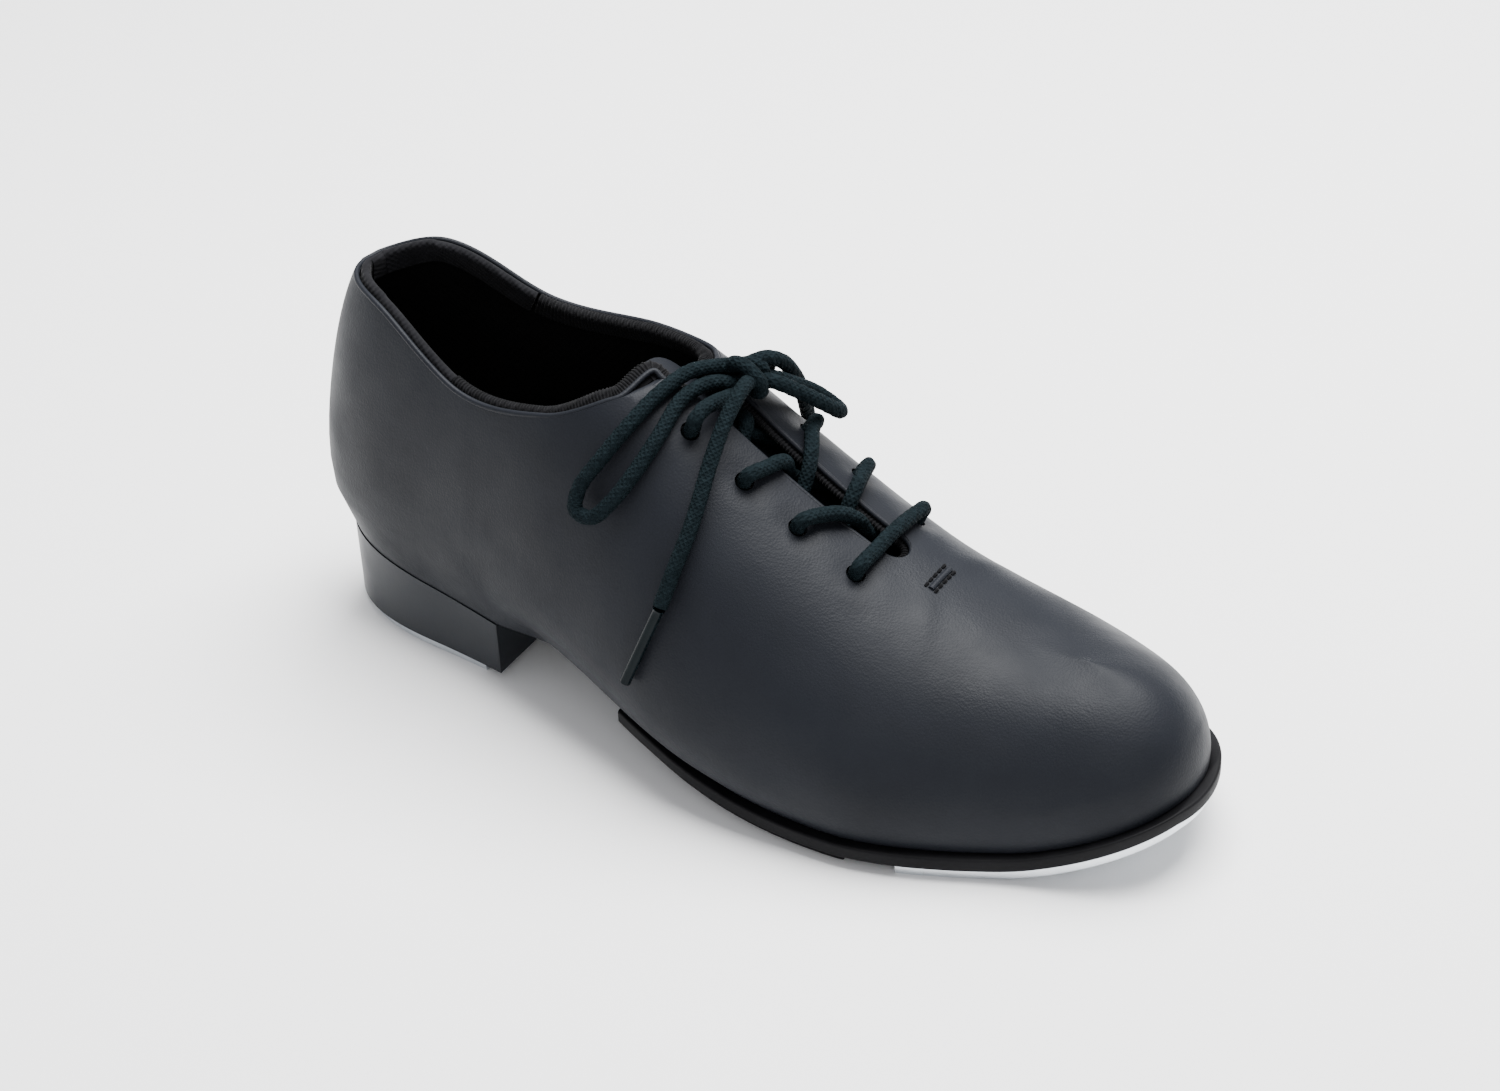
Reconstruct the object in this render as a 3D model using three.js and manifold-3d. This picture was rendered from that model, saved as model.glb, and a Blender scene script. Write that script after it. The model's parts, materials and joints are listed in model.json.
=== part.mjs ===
// A lace-up tap shoe, right foot, in millimetres with +Z up and the toe towards +X.
// The outer side of the foot is -Y. Everything is built round one last, the foot-shaped
// form that a shoe is made on: each layer is that form drawn in by the layer's depth.
import * as THREE from 'three';
import { mergeVertices } from 'three/addons/utils/BufferGeometryUtils.js';
import Module from 'manifold-3d';

const wasm = await Module();
wasm.setup();

// ---- Driving dimensions ----
const LENGTH = 266; // heel to toe, at the edge where the upper meets the sole
const HEEL_HALF = 24.7; // half widths of the feather edge
const WAIST_HALF = 35.8;
const JOINT_HALF = 44.6;
const BALL_HALF = 46.1;
const TOE_HALF = 41.7;
const BACK_HEIGHT = 108.7; // heights of the last over the feather edge
const INSTEP_HEIGHT = 92.4;
const LACING_HEIGHT = 71.9;
const CONE_HEIGHT = 53.4;
const TOE_HEIGHT = 41.5;
const TIP_HEIGHT = 40;
const HEEL_SEAT = 28.3; // ground to feather edge at the back of the heel
const TOE_SPRING = 13.8; // rise of the feather edge at the tip over the ball
const COLLAR_BACK = 109.5; // ground to collar at the back
const COLLAR_DIP = 92.9; // ground to collar under the outer ankle
const COLLAR_DIP_INNER = 97; // ground to collar under the inner ankle

const GAP = 0.3; // between pieces that touch
const UPPER_WALL = 1.6;
const STIFFENER_WALL = 1;
const LINING_WALL = 2.3;
const BINDING_WALL = 1.3;
const BINDING_DEEP = 4.5;
const BINDING_PROUD = 0.7;
const MARGIN = 15; // width of the upper that is turned in under the foot
const INSOLE_WALL = 2;
const SOCK_WALL = 1.5;
const BOARD_SLACK = 0.5; // round the insole board
const SOCK_SLACK = 0.8; // round the sock liner
const COVER_WALL = 1.3;
const COVER_SET_IN = 2.5;
const SOLE_WALL = 4;
const SOLE_EDGE = 3; // how far the sole stands out past the feather edge
const TAP_WALL = 3;
const TAP_SET_IN = 1.4; // toe tap's edge, in from the sole's edge
const HEEL_TAP_SET_IN = 1.5;
const PAD_WALL = 1.8;
const PAD_SET_IN = 1.6;
const HEEL_LENGTH = 64;
const HEEL_TAP_LENGTH = 57;
const SHANK_START = 22;
const SHANK_HALF = 6;
const SHANK_WALL = 1.2;
const TONGUE_WALL = 1.5;
const TONGUE_LINING_WALL = 1;
const TONGUE_HALF = 20;
const LACE_RADIUS = 2.1;
const AGLET_RADIUS = 1.5;
const AGLET_LENGTH = 25;
const EYELET_RADIUS = 2.7;
const EYELET_HALF_SPACING = 16.6;
const THROAT_Y = 3; // the lacing's centre line
const THROAT_END = 178;
const SCREW_HEAD_RADIUS = 3;
const SCREW_SHANK_RADIUS = 1.3;
const SCREW_LENGTH = 5.8;
const NAIL_RADIUS = 1.1;
const NAIL_HEAD_RADIUS = 2.4;
const NAIL_LENGTH = 17;

// ---- Places worked out from them ----
const at = (share) => share * LENGTH;
const HEEL_ROUND = at(0.149); // length of the rounded back
const TOE_ROUND = at(0.744); // where the toe starts to round
const SPINE_START = at(0.191); // the last's ridge runs between these two
const SPINE_END = at(0.87);
const SOLE_START = at(0.42);
const PAD_START = at(0.47);
const PAD_END = at(0.705);
const TAP_START = at(0.757);
const FLAT_END = at(0.8); // the tap is level from its start to here
const SPRING_START = at(0.812); // the toe springs up from here
const HEEL_CENTRE = HEEL_LENGTH / 2;
const EYELET_X = [at(0.464), at(0.524), at(0.583), at(0.647)];
const BALL_Z = TAP_WALL + GAP + SOLE_WALL + GAP; // feather edge over the ground at the ball
const STIFFENER_IN = UPPER_WALL + GAP;
const LINING_OUT = STIFFENER_IN + LINING_WALL;
const INSOLE_TOP = UPPER_WALL + GAP + INSOLE_WALL;
const LINING_FOOT = INSOLE_TOP + GAP;
const LACE_ROOM = 6.8; // between the lining and the tongue
const TONGUE_IN = LINING_OUT + LACE_ROOM;

// ---- Curves ----
// A smooth curve through a few [x, value] keys, level past its ends.
function smooth(keys) {
  const slope = keys.map((key, i) => {
    const before = keys[Math.max(i - 1, 0)];
    const after = keys[Math.min(i + 1, keys.length - 1)];
    return (after[1] - before[1]) / (after[0] - before[0]);
  });
  return (x) => {
    if (x <= keys[0][0]) return keys[0][1];
    const last = keys.length - 1;
    if (x >= keys[last][0]) return keys[last][1];
    let i = 0;
    while (x > keys[i + 1][0]) i += 1;
    const run = keys[i + 1][0] - keys[i][0];
    const t = (x - keys[i][0]) / run;
    const start = keys[i][1] * (2 * t ** 3 - 3 * t ** 2 + 1) + keys[i + 1][1] * (3 * t ** 2 - 2 * t ** 3);
    return start + run * (slope[i] * (t ** 3 - 2 * t ** 2 + t) + slope[i + 1] * (t ** 3 - t ** 2));
  };
}

const halfWidth = smooth([
  [0, HEEL_HALF], [HEEL_ROUND, HEEL_HALF], [at(0.375), WAIST_HALF],
  [at(0.536), JOINT_HALF], [at(0.686), BALL_HALF], [at(0.857), TOE_HALF], [LENGTH, TOE_HALF],
]);
const centreLine = smooth([
  [0, 0], [at(0.125), 0], [at(0.375), 0.4], [at(0.686), -4.5], [at(0.857), 1.2], [LENGTH, -2.6],
]);
const featherCurve = smooth([
  [0, HEEL_SEAT], [at(0.232), HEEL_SEAT - 7.7], [at(0.41), BALL_Z + 8.5], [at(0.571), BALL_Z + 1.7],
  [at(0.7), BALL_Z], [SPRING_START, BALL_Z], [at(0.88), BALL_Z + 2], [LENGTH, BALL_Z + TOE_SPRING],
]);
const feather = (x) => Math.max(featherCurve(x), BALL_Z);
const height = smooth([
  [0, BACK_HEIGHT], [at(0.214), BACK_HEIGHT], [at(0.393), INSTEP_HEIGHT], [at(0.536), LACING_HEIGHT],
  [at(0.679), CONE_HEIGHT], [at(0.821), TOE_HEIGHT], [LENGTH, TIP_HEIGHT],
]);
const squareness = smooth([
  [0, 2.98], [at(0.214), 2.98], [at(0.429), 2.64], [at(0.679), 2.39], [LENGTH, 2.37],
]);
const fullness = smooth([
  [0, 0.117], [at(0.143), 0.092], [at(0.429), 0.198], [at(0.679), 0.066], [LENGTH, 0.005],
]);
const ridgeY = smooth([[0, 0], [at(0.214), 0], [at(0.429), -0.9], [at(0.714), -1.2], [LENGTH, -2.6]]);
// How far the upper curls in under the waist, outer side then inner side.
const TUCK_OUTER = smooth([[at(0.24), 0], [at(0.33), 5], [at(0.43), 1], [at(0.5), 0]]);
const TUCK_INNER = smooth([[at(0.24), 0], [at(0.38), 12], [at(0.6), 0]]);
const TUCK_TO = 0.22; // share of the height that the curl takes
const FULLEST = 0.207; // share of the height where the wall stands out most
const collarOuter = smooth([
  [0, COLLAR_BACK], [at(0.036), COLLAR_BACK], [at(0.107), COLLAR_BACK - 2], [at(0.214), COLLAR_DIP],
  [at(0.321), COLLAR_DIP + 2.2], [at(0.385), 101.6], [at(0.446), 108], [at(0.51), 130],
]);
const collarInner = smooth([
  [0, COLLAR_BACK], [at(0.036), COLLAR_BACK], [at(0.107), COLLAR_BACK + 2.9], [at(0.214), COLLAR_DIP_INNER],
  [at(0.321), COLLAR_DIP_INNER - 1], [at(0.446), 101], [at(0.51), 130],
]);

// Rounds the heel and the toe in plan: 1 along the sides, 0 at both tips.
function endRound(x) {
  const ellipse = (t, power) => Math.max(1 - t ** power, 0) ** (1 / power);
  if (x < HEEL_ROUND) return ellipse((HEEL_ROUND - x) / HEEL_ROUND, 2);
  if (x > TOE_ROUND) return ellipse((x - TOE_ROUND) / (LENGTH - TOE_ROUND), 2.07);
  return 1;
}

// Where the ridge point of a station is.
const spineAt = (x) => SPINE_START + (x / LENGTH) * (SPINE_END - SPINE_START);

// A point on the last. x is the station on the feather edge, side is -1 outer or 1 inner,
// rise goes from 0 at the feather edge to 1 on the ridge, inset draws the last in.
function lastPoint(x, side, rise, inset) {
  const spineX = spineAt(x);
  const spineY = ridgeY(spineX);
  const edgeY = centreLine(x) + side * halfWidth(x) * endRound(x);
  const power = squareness(x);
  const full = 1 + fullness(x) * (rise / FULLEST) * Math.exp(1 - rise / FULLEST);
  const drawn = 1 - inset / Math.hypot(x - spineX, edgeY - spineY);
  const reach = Math.max(1 - rise ** power, 0) ** (1 / power) * full * drawn;
  const tuck = (side < 0 ? TUCK_OUTER(x) : TUCK_INNER(x)) * Math.max(1 - rise / TUCK_TO, 0) ** 2;
  const px = spineX + (x - spineX) * reach;
  const py = spineY + (edgeY - spineY) * reach - side * tuck;
  const foot = feather(spineX + (x - spineX) * drawn) + inset;
  const crown = feather(spineX) + height(px) - inset;
  return new THREE.Vector3(px, py, foot * (1 - rise) + crown * rise);
}

// The point on the last's top over a place in plan, and the way out of the last there.
function topPoint(x, y, inset) {
  const find = (px, py) => {
    const side = py < ridgeY(px) ? -1 : 1;
    let station = px;
    let point;
    for (let turn = 0; turn < 10; turn += 1) {
      let low = 0.3;
      let high = 1;
      for (let step = 0; step < 24; step += 1) {
        const rise = (low + high) / 2;
        point = lastPoint(station, side, rise, inset);
        if (side * (point.y - py) > 0) low = rise;
        else high = rise;
      }
      station += px - point.x;
    }
    return point;
  };
  const point = find(x, y);
  const along = find(x + 1, y).sub(find(x - 1, y));
  const across = find(x, y + 1).sub(find(x, y - 1));
  return { point, normal: along.cross(across).normalize() };
}

// ---- Solids ----
function toSolid(geometry) {
  geometry.deleteAttribute('normal');
  geometry.deleteAttribute('uv');
  const merged = mergeVertices(geometry, 1e-4);
  const corners = merged.index.array;
  const kept = [];
  for (let i = 0; i < corners.length; i += 3) {
    const [a, b, c] = [corners[i], corners[i + 1], corners[i + 2]];
    if (a !== b && b !== c && c !== a) kept.push(a, b, c);
  }
  const vertProperties = new Float32Array(merged.attributes.position.array);
  return new wasm.Manifold(new wasm.Mesh({ numProp: 3, vertProperties, triVerts: new Uint32Array(kept) }));
}

// A closed skin over rings of equally many points; a ring shrunk to a line needs no cap.
function loft(rings, capStart, capEnd) {
  const count = rings[0].length;
  const positions = rings.flat().flatMap((point) => [point.x, point.y, point.z]);
  const index = [];
  for (let i = 0; i + 1 < rings.length; i += 1) {
    for (let j = 0; j < count; j += 1) {
      const k = (j + 1) % count;
      const [a, b, c, d] = [i * count + j, i * count + k, (i + 1) * count + j, (i + 1) * count + k];
      index.push(a, c, b, b, c, d);
    }
  }
  const end = (rings.length - 1) * count;
  for (let j = 1; j + 1 < count; j += 1) {
    if (capStart) index.push(0, j, j + 1);
    if (capEnd) index.push(end, end + j + 1, end + j);
  }
  const geometry = new THREE.BufferGeometry();
  geometry.setAttribute('position', new THREE.Float32BufferAttribute(positions, 3));
  geometry.setIndex(index);
  return toSolid(geometry);
}

const STATIONS = 28;
const RISE_STEPS = 7;
const FLOOR_STEPS = 2;

// Stations along the shoe from one x to another, closer together at the round ends. One is where the
// level part of the sole ends, so that the level part is truly flat.
function stations(start, end) {
  const list = [];
  for (let i = 1; i < STATIONS; i += 1) list.push((LENGTH / 2) * (1 - Math.cos((Math.PI * i) / STATIONS)));
  const inside = list.filter((x) => x > start + 1 && x < end - 1 && Math.abs(x - FLAT_END) > 1);
  if (FLAT_END > start + 1 && FLAT_END < end - 1) inside.push(FLAT_END);
  return [start, ...inside.sort((a, b) => a - b), end];
}

// The whole last, drawn in by inset, which may change along the shoe.
function lastSolid(inset) {
  const insetAt = typeof inset === 'function' ? (x) => inset(spineAt(x)) : () => inset;
  const rings = stations(0, LENGTH).map((x) => {
    const power = squareness(x);
    const rises = Array.from({ length: RISE_STEPS + 1 }, (_, j) =>
      Math.sin((Math.PI / 2) * (j / RISE_STEPS)) ** (2 / power));
    const outer = rises.map((rise) => lastPoint(x, -1, rise, insetAt(x)));
    const inner = rises.map((rise) => lastPoint(x, 1, rise, insetAt(x)));
    const floor = [];
    for (let j = 1; j < FLOOR_STEPS; j += 1) floor.push(inner[0].clone().lerp(outer[0], j / FLOOR_STEPS));
    return [...outer, ...inner.slice(0, -1).reverse(), ...floor];
  });
  return loft(rings, false, false);
}

// A prism with its outline seen from the side, through the shoe from yLow to yHigh.
function sidePrism(outline, yLow, yHigh) {
  const shape = new THREE.Shape(outline.map(([x, z]) => new THREE.Vector2(x, z)));
  const geometry = new THREE.ExtrudeGeometry(shape, { depth: yHigh - yLow, bevelEnabled: false });
  geometry.rotateX(Math.PI / 2);
  geometry.translate(0, yHigh, 0);
  return toSolid(geometry);
}

// A prism with its outline seen from above.
function planPrism(outline, zLow, zHigh) {
  const shape = new THREE.Shape(outline.map(([x, y]) => new THREE.Vector2(x, y)));
  const geometry = new THREE.ExtrudeGeometry(shape, { depth: zHigh - zLow, bevelEnabled: false });
  geometry.translate(0, 0, zLow);
  return toSolid(geometry);
}

const FAR = 300; // past the shoe in any direction
const slice = (xLow, xHigh) => sidePrism([[xLow, -FAR], [xHigh, -FAR], [xHigh, FAR], [xLow, FAR]], -FAR, FAR);

// A sheet under the foot: the feather edge's outline drawn in by inset, cut square at one x and another.
// topOf and bottomOf give its heights at a station.
const PAST_CUT = 9; // how far the sheet is made past a square end before it is cut
function soleSheet(inset, start, end, bottomOf, topOf) {
  const from = Math.max(start - PAST_CUT, 0);
  const to = Math.min(end + PAST_CUT, LENGTH);
  const rings = stations(from, to).map((x) => {
    const outer = lastPoint(x, -1, 0, inset);
    const inner = lastPoint(x, 1, 0, inset);
    const across = [];
    for (let j = 0; j <= FLOOR_STEPS; j += 1) across.push(outer.clone().lerp(inner, j / FLOOR_STEPS));
    const high = across.map((point) => point.clone().setZ(topOf(point.x)));
    const low = across.map((point) => point.clone().setZ(bottomOf(point.x))).reverse();
    return [...high, ...low];
  });
  const kept = slice(start > 0 ? start : -FAR, end < LENGTH ? end : 2 * FAR);
  return loft(rings, from > 0, to < LENGTH).intersect(kept);
}
const sheetAt = (inset, start, end, low, high) =>
  soleSheet(inset, start, end, (x) => feather(x) + low, (x) => feather(x) + high);

// A turned solid: profile is [radius, height] from bottom to top, stood on a point along a direction.
function turned(profile, point, direction, sides) {
  const geometry = new THREE.LatheGeometry(profile.map(([r, h]) => new THREE.Vector2(r, h)), sides);
  const turn = new THREE.Quaternion().setFromUnitVectors(new THREE.Vector3(0, 1, 0), direction);
  geometry.applyQuaternion(turn);
  geometry.translate(point.x, point.y, point.z);
  return toSolid(geometry);
}

// ---- The ankle opening and the throat ----
const throatHalf = smooth([
  [at(0.42), 9.5], [at(0.455), 6.8], [at(0.5), 5.6], [at(0.6), 4.8], [at(0.66), 4.4],
]);
const THROAT_ROUND = 4.4;

// The space that the opening takes, grown by grow all round.
function opening(grow) {
  const side = (collar, yLow, yHigh) => {
    const outline = [];
    for (let x = -20; x <= at(0.51); x += 4) outline.push([x, collar(x) - grow]);
    outline.push([at(0.51), FAR], [-20, FAR]);
    return sidePrism(outline, yLow, yHigh);
  };
  const outer = side(collarOuter, -FAR, 0.01);
  const inner = side(collarInner, 0, FAR);
  const outline = [];
  const roundStart = THROAT_END - THROAT_ROUND;
  for (let x = at(0.4); x < roundStart; x += 5) outline.push([x, THROAT_Y - throatHalf(x) - grow]);
  for (let i = 0; i <= 8; i += 1) {
    const angle = -Math.PI / 2 + (Math.PI * i) / 8;
    const radius = THROAT_ROUND + grow;
    outline.push([roundStart + radius * Math.cos(angle), THROAT_Y + radius * Math.sin(angle)]);
  }
  const back = outline.slice(0, -9).map(([x, y]) => [x, 2 * THROAT_Y - y]).reverse();
  const slot = planPrism([...outline, ...back], 35, FAR);
  return outer.add(inner).add(slot);
}

const eyelets = [-1, 1].flatMap((side) =>
  EYELET_X.map((x) => topPoint(x, THROAT_Y + side * EYELET_HALF_SPACING, 0)));
const punches = eyelets
  .map(({ point, normal }) => {
    const start = point.clone().addScaledVector(normal, -8);
    return turned([[0, 0], [EYELET_RADIUS, 0], [EYELET_RADIUS, 11], [0, 11]], start, normal, 14);
  })
  .reduce((all, punch) => all.add(punch));

const group = new THREE.Group();
function addPart(name, solid, color, roughness, metalness) {
  const result = solid.getMesh();
  const geometry = new THREE.BufferGeometry();
  geometry.setAttribute('position', new THREE.BufferAttribute(result.vertProperties, 3));
  geometry.setIndex(new THREE.BufferAttribute(result.triVerts, 1));
  geometry.computeVertexNormals();
  const mesh = new THREE.Mesh(geometry, new THREE.MeshStandardMaterial({ color, roughness, metalness }));
  mesh.name = name;
  group.add(mesh);
}

const SLATE = 0x383c44;
const BLACK = 0x17181b;
const CLOTH = 0x0d0d0f;
const LACE_BLUE = 0x1d2b31;
const METAL = 0xaab0b8;

// ---- Heel nails, driven down from inside the shoe ----
const nails = [[0.09, -12], [0.09, 12], [0.18, -13], [0.18, 13]].map(([share, y]) => {
  const top = new THREE.Vector3(at(share), y, feather(at(share)) + INSOLE_TOP - 0.1);
  const profile = (grow) => [
    [0, -NAIL_LENGTH - grow], [NAIL_RADIUS + grow, -NAIL_LENGTH + 2], [NAIL_RADIUS + grow, -0.8 - grow],
    [NAIL_HEAD_RADIUS + grow, -0.8 - grow], [NAIL_HEAD_RADIUS + grow, grow], [0, grow],
  ];
  const up = new THREE.Vector3(0, 1e-9, 1).normalize();
  return { body: turned(profile(0), top, up, 8), room: turned(profile(GAP), top, up, 8) };
});
const nailRoom = nails.map(({ room }) => room).reduce((all, room) => all.add(room));

// ---- Lace ----
// One lace in three stretches: through the eyelets, and a bow to each side. The held stretch starts over
// the outer top eyelet and ends over the inner one. It follows the upper: each row is a place in plan and
// the height of the lace's middle over the upper's face there, below zero where it runs underneath.
const UNDER = -6.3;
const through = (number, side, heights) =>
  heights.map((over) => [EYELET_X[number], THROAT_Y + side * EYELET_HALF_SPACING, over]);
const DOWN = [3.4, -2, -6.1];
const UP = [-6.1, -2, 3.4];
const HELD_ROUTE = [
  ...through(0, -1, DOWN),
  [127, -6, UNDER], [131.4, 3, UNDER], [136, 12, UNDER],
  ...through(1, 1, UP),
  [141.5, 14.5, 2.9], [144.8, 9, 2.7], [148, 4.5, 0.2], [150.7, 0, -4.8], [152.6, -5, UNDER],
  ...through(2, -1, UP),
  [157.3, -8.5, 2.9], [160.8, -3, 2.7], [164.4, 1.5, 0.2], [167.1, 6, -4.8], [168.9, 11, UNDER],
  ...through(3, 1, UP),
  [172.5, 13, 3], [172.6, 3, 2.9], [172.5, -7, 3],
  ...through(3, -1, DOWN),
  [167.6, -6, UNDER], [164.4, -1.5, UNDER], [161.7, 2.5, -4.8], [159.6, 6.3, 0.6], [158.4, 9.5, 2.7],
  [157, 14, 2.9],
  ...through(2, 1, DOWN),
  [151.2, 12, UNDER], [148.4, 7.5, UNDER], [145.7, 3.5, -4.8], [143.6, -0.3, 0.6], [142.6, -3.5, 2.7],
  [141.4, -8, 2.9],
  ...through(1, -1, DOWN),
  [136.2, -6, UNDER], [133.8, -1.5, -4.4], [131.2, 3, -1.4], [128.6, 7.5, -4.4], [126.4, 12, UNDER],
  ...through(0, 1, UP),
];
const LACE_HELD = HELD_ROUTE.map(([x, y, over]) => {
  const { point, normal } = topPoint(x, y, 0);
  return point.addScaledVector(normal, over);
});
const KNOT = new THREE.Vector3(128, 7, 99.3);
const KNOT_SIZE = [7, 8, 5.2]; // half sizes along X, Y, Z
const OUTER_RISER = [
  [126.4, -15.8, 99.4], [127, -12.6, 101], [127.3, -7, 100.2], [127.5, -1, 98.4], [128, 7, 98],
];
const INNER_RISER = [[126, 22.4, 95.2], [126.6, 20.8, 97.6], [127, 17, 98.2], [127.4, 13, 98], [128, 7, 98]];
const OUTER_LOOP = [
  [128, 7, 101], [122.5, 4.5, 103.6], [117.5, -3.5, 104.8], [114.4, -14, 103], [111.4, -23, 98.6],
  [106.8, -30.8, 91], [102.2, -35.8, 83], [102.4, -38.6, 77.6], [107, -38.6, 76.6], [111.6, -36, 81],
  [116, -30, 88.4], [118.8, -21.5, 95.8], [119.4, -10, 101], [122.4, -1, 101.4], [128, 7, 99.5],
];
const INNER_LOOP = [
  [128, 7, 99], [135, 10.5, 98.8], [140, 15.5, 94], [144, 21, 88.4], [145.4, 26.4, 83.4],
  [142.2, 29.6, 82.4], [138, 26.6, 87.2], [134.6, 20, 93], [132, 14.6, 97], [128, 7, 99],
];
const OUTER_END = [
  [128, 7, 101], [132, 1, 102.6], [133, -5.4, 102.2], [133, -12, 98.2], [133.4, -20.8, 90.6],
  [134, -26.8, 84.8], [134.2, -33, 78.2], [133, -39.4, 69.8], [131.2, -45, 60],
];
const INNER_END = [
  [128, 7, 101.5], [129.6, 13.8, 102.8], [131.6, 19.8, 99.2], [132, 25.4, 92], [130.6, 31.4, 82.8],
  [128.4, 37, 73.6], [126.6, 42, 63.4], [125.2, 46, 53.6],
];
const OUTER_AGLET = [[131, -45.3, 59.4], [122.4, -51.9, 35.8]];
const INNER_AGLET = [[125.1, 46.2, 53], [122.6, 51.8, 28.8]];

const LACE_SIDES = 8;
const vectors = (points) => points.map(([x, y, z]) => new THREE.Vector3(x, y, z));
function laceTube(points, radius, steps) {
  const path = new THREE.CatmullRomCurve3(points);
  const section = new THREE.Shape();
  for (let i = 0; i < LACE_SIDES; i += 1) {
    const angle = (2 * Math.PI * i) / LACE_SIDES;
    const [x, y] = [radius * Math.cos(angle), radius * Math.sin(angle)];
    if (i === 0) section.moveTo(x, y);
    else section.lineTo(x, y);
  }
  return toSolid(new THREE.ExtrudeGeometry(section, { steps, extrudePath: path, bevelEnabled: false }));
}
function knotBall(grow) {
  const geometry = new THREE.SphereGeometry(1, 12, 8);
  geometry.scale(...KNOT_SIZE.map((half) => half + grow));
  geometry.translate(KNOT.x, KNOT.y, KNOT.z);
  return toSolid(geometry);
}
const HELD_STEPS = 80;
const heldRoom = laceTube(LACE_HELD, LACE_RADIUS + GAP, HELD_STEPS);

// ---- Layers of the upper ----
const atLining = lastSolid(STIFFENER_IN);
const underLining = lastSolid(LINING_OUT);
const stiffenerShell = atLining.subtract(lastSolid(STIFFENER_IN + STIFFENER_WALL));
const pocketShell = lastSolid(0).subtract(lastSolid(STIFFENER_IN + STIFFENER_WALL + GAP));
const floorEdge = [];
for (let x = -20; x <= LENGTH + 20; x += 3) floorEdge.push([x, feather(x) + LINING_FOOT + GAP]);
const footCut = sidePrism([[-20, -FAR], ...floorEdge, [LENGTH + 20, -FAR]], -FAR, FAR);

const COUNTER_LENGTH = 62;
const COUNTER_TOP = 78;
const counterRegion = (grow) => {
  const top = COUNTER_TOP + grow;
  const corners = [[-20, 0], [COUNTER_LENGTH + grow, 0], [COUNTER_LENGTH * 0.75 + grow, top], [-20, top]];
  return sidePrism(corners, -FAR, FAR);
};
const PUFF_LENGTH = 44;
const puffRegion = (grow) => slice(LENGTH - PUFF_LENGTH - grow, LENGTH + 20);
const STAY_HALF = 6;
const stayRegion = (side, grow) => {
  const y = THROAT_Y + side * (EYELET_HALF_SPACING + 1);
  const [x0, x1] = [EYELET_X[0] - 7 - grow, EYELET_X[3] + 7 + grow];
  const half = STAY_HALF + grow;
  return planPrism([[x0, y - half], [x1, y - half], [x1, y + half], [x0, y + half]], 35, FAR);
};
const laceRoom = punches.add(heldRoom);

const upper = lastSolid(0)
  .subtract(lastSolid(UPPER_WALL))
  .subtract(sheetAt(MARGIN, 0, LENGTH, -20, UPPER_WALL + 5))
  .subtract(opening(0))
  .subtract(nailRoom)
  .subtract(laceRoom);
addPart('upper', upper, SLATE, 0.5, 0);

const binding = atLining
  .subtract(lastSolid(STIFFENER_IN + BINDING_WALL))
  .intersect(opening(BINDING_DEEP))
  .subtract(opening(-BINDING_PROUD))
  .subtract(footCut)
  .subtract(heldRoom);
const BINDING_JOIN = 53;
addPart('collar_tape', binding.intersect(slice(-20, BINDING_JOIN - GAP / 2)), BLACK, 0.9, 0);
addPart('throat_binding', binding.intersect(slice(BINDING_JOIN + GAP / 2, FAR)), BLACK, 0.9, 0);

const stays = [['outer', -1], ['inner', 1]].map(([name, side]) => {
  const stay = stiffenerShell
    .intersect(stayRegion(side, 0))
    .subtract(opening(BINDING_DEEP + GAP))
    .subtract(laceRoom);
  addPart(`eyelet_stay_${name}`, stay, BLACK, 0.8, 0);
  return stayRegion(side, GAP);
});
addPart('heel_counter', stiffenerShell.intersect(counterRegion(0)).subtract(footCut), 0x8a7a60, 0.8, 0);
addPart('toe_puff', stiffenerShell.intersect(puffRegion(0)).subtract(footCut), 0x8a7a60, 0.8, 0);

const pockets = [counterRegion(GAP), puffRegion(GAP), ...stays]
  .reduce((all, region) => all.add(region))
  .intersect(pocketShell);
const lining = atLining
  .subtract(underLining)
  .subtract(opening(BINDING_DEEP + GAP))
  .subtract(footCut)
  .subtract(pockets)
  .subtract(laceRoom);
const LINING_JOIN = at(0.43);
addPart('quarter_lining', lining.intersect(slice(-20, LINING_JOIN - GAP / 2)), CLOTH, 0.95, 0);
addPart('vamp_lining', lining.intersect(slice(LINING_JOIN + GAP / 2, FAR)), CLOTH, 0.95, 0);

// ---- Under the foot ----
const board = sheetAt(STIFFENER_IN + BOARD_SLACK, 0, LENGTH, UPPER_WALL + GAP, INSOLE_TOP).subtract(nailRoom);
addPart('insole_board', board, 0x9a8464, 0.85, 0);
const sock = sheetAt(LINING_OUT + SOCK_SLACK, 0, LENGTH, LINING_FOOT, LINING_FOOT + SOCK_WALL);
addPart('sock_liner', sock, CLOTH, 0.9, 0);
addPart('forefoot_filler', sheetAt(MARGIN + GAP, SOLE_START + 4, LENGTH, 0, UPPER_WALL), 0x6b5a45, 0.9, 0);

const shankRing = (x) => [[-1, 0], [-1, SHANK_WALL], [1, SHANK_WALL], [1, 0]].map(([side, z]) =>
  new THREE.Vector3(x, centreLine(x) + side * SHANK_HALF, feather(x) + z));
addPart('shank', loft(stations(SHANK_START, SOLE_START - 3).map(shankRing), true, true), METAL, 0.35, 1);
const cover = sheetAt(COVER_SET_IN, HEEL_LENGTH + GAP, SOLE_START - GAP, -GAP - COVER_WALL, -GAP);
addPart('waist_cover', cover, BLACK, 0.6, 0);

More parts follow.
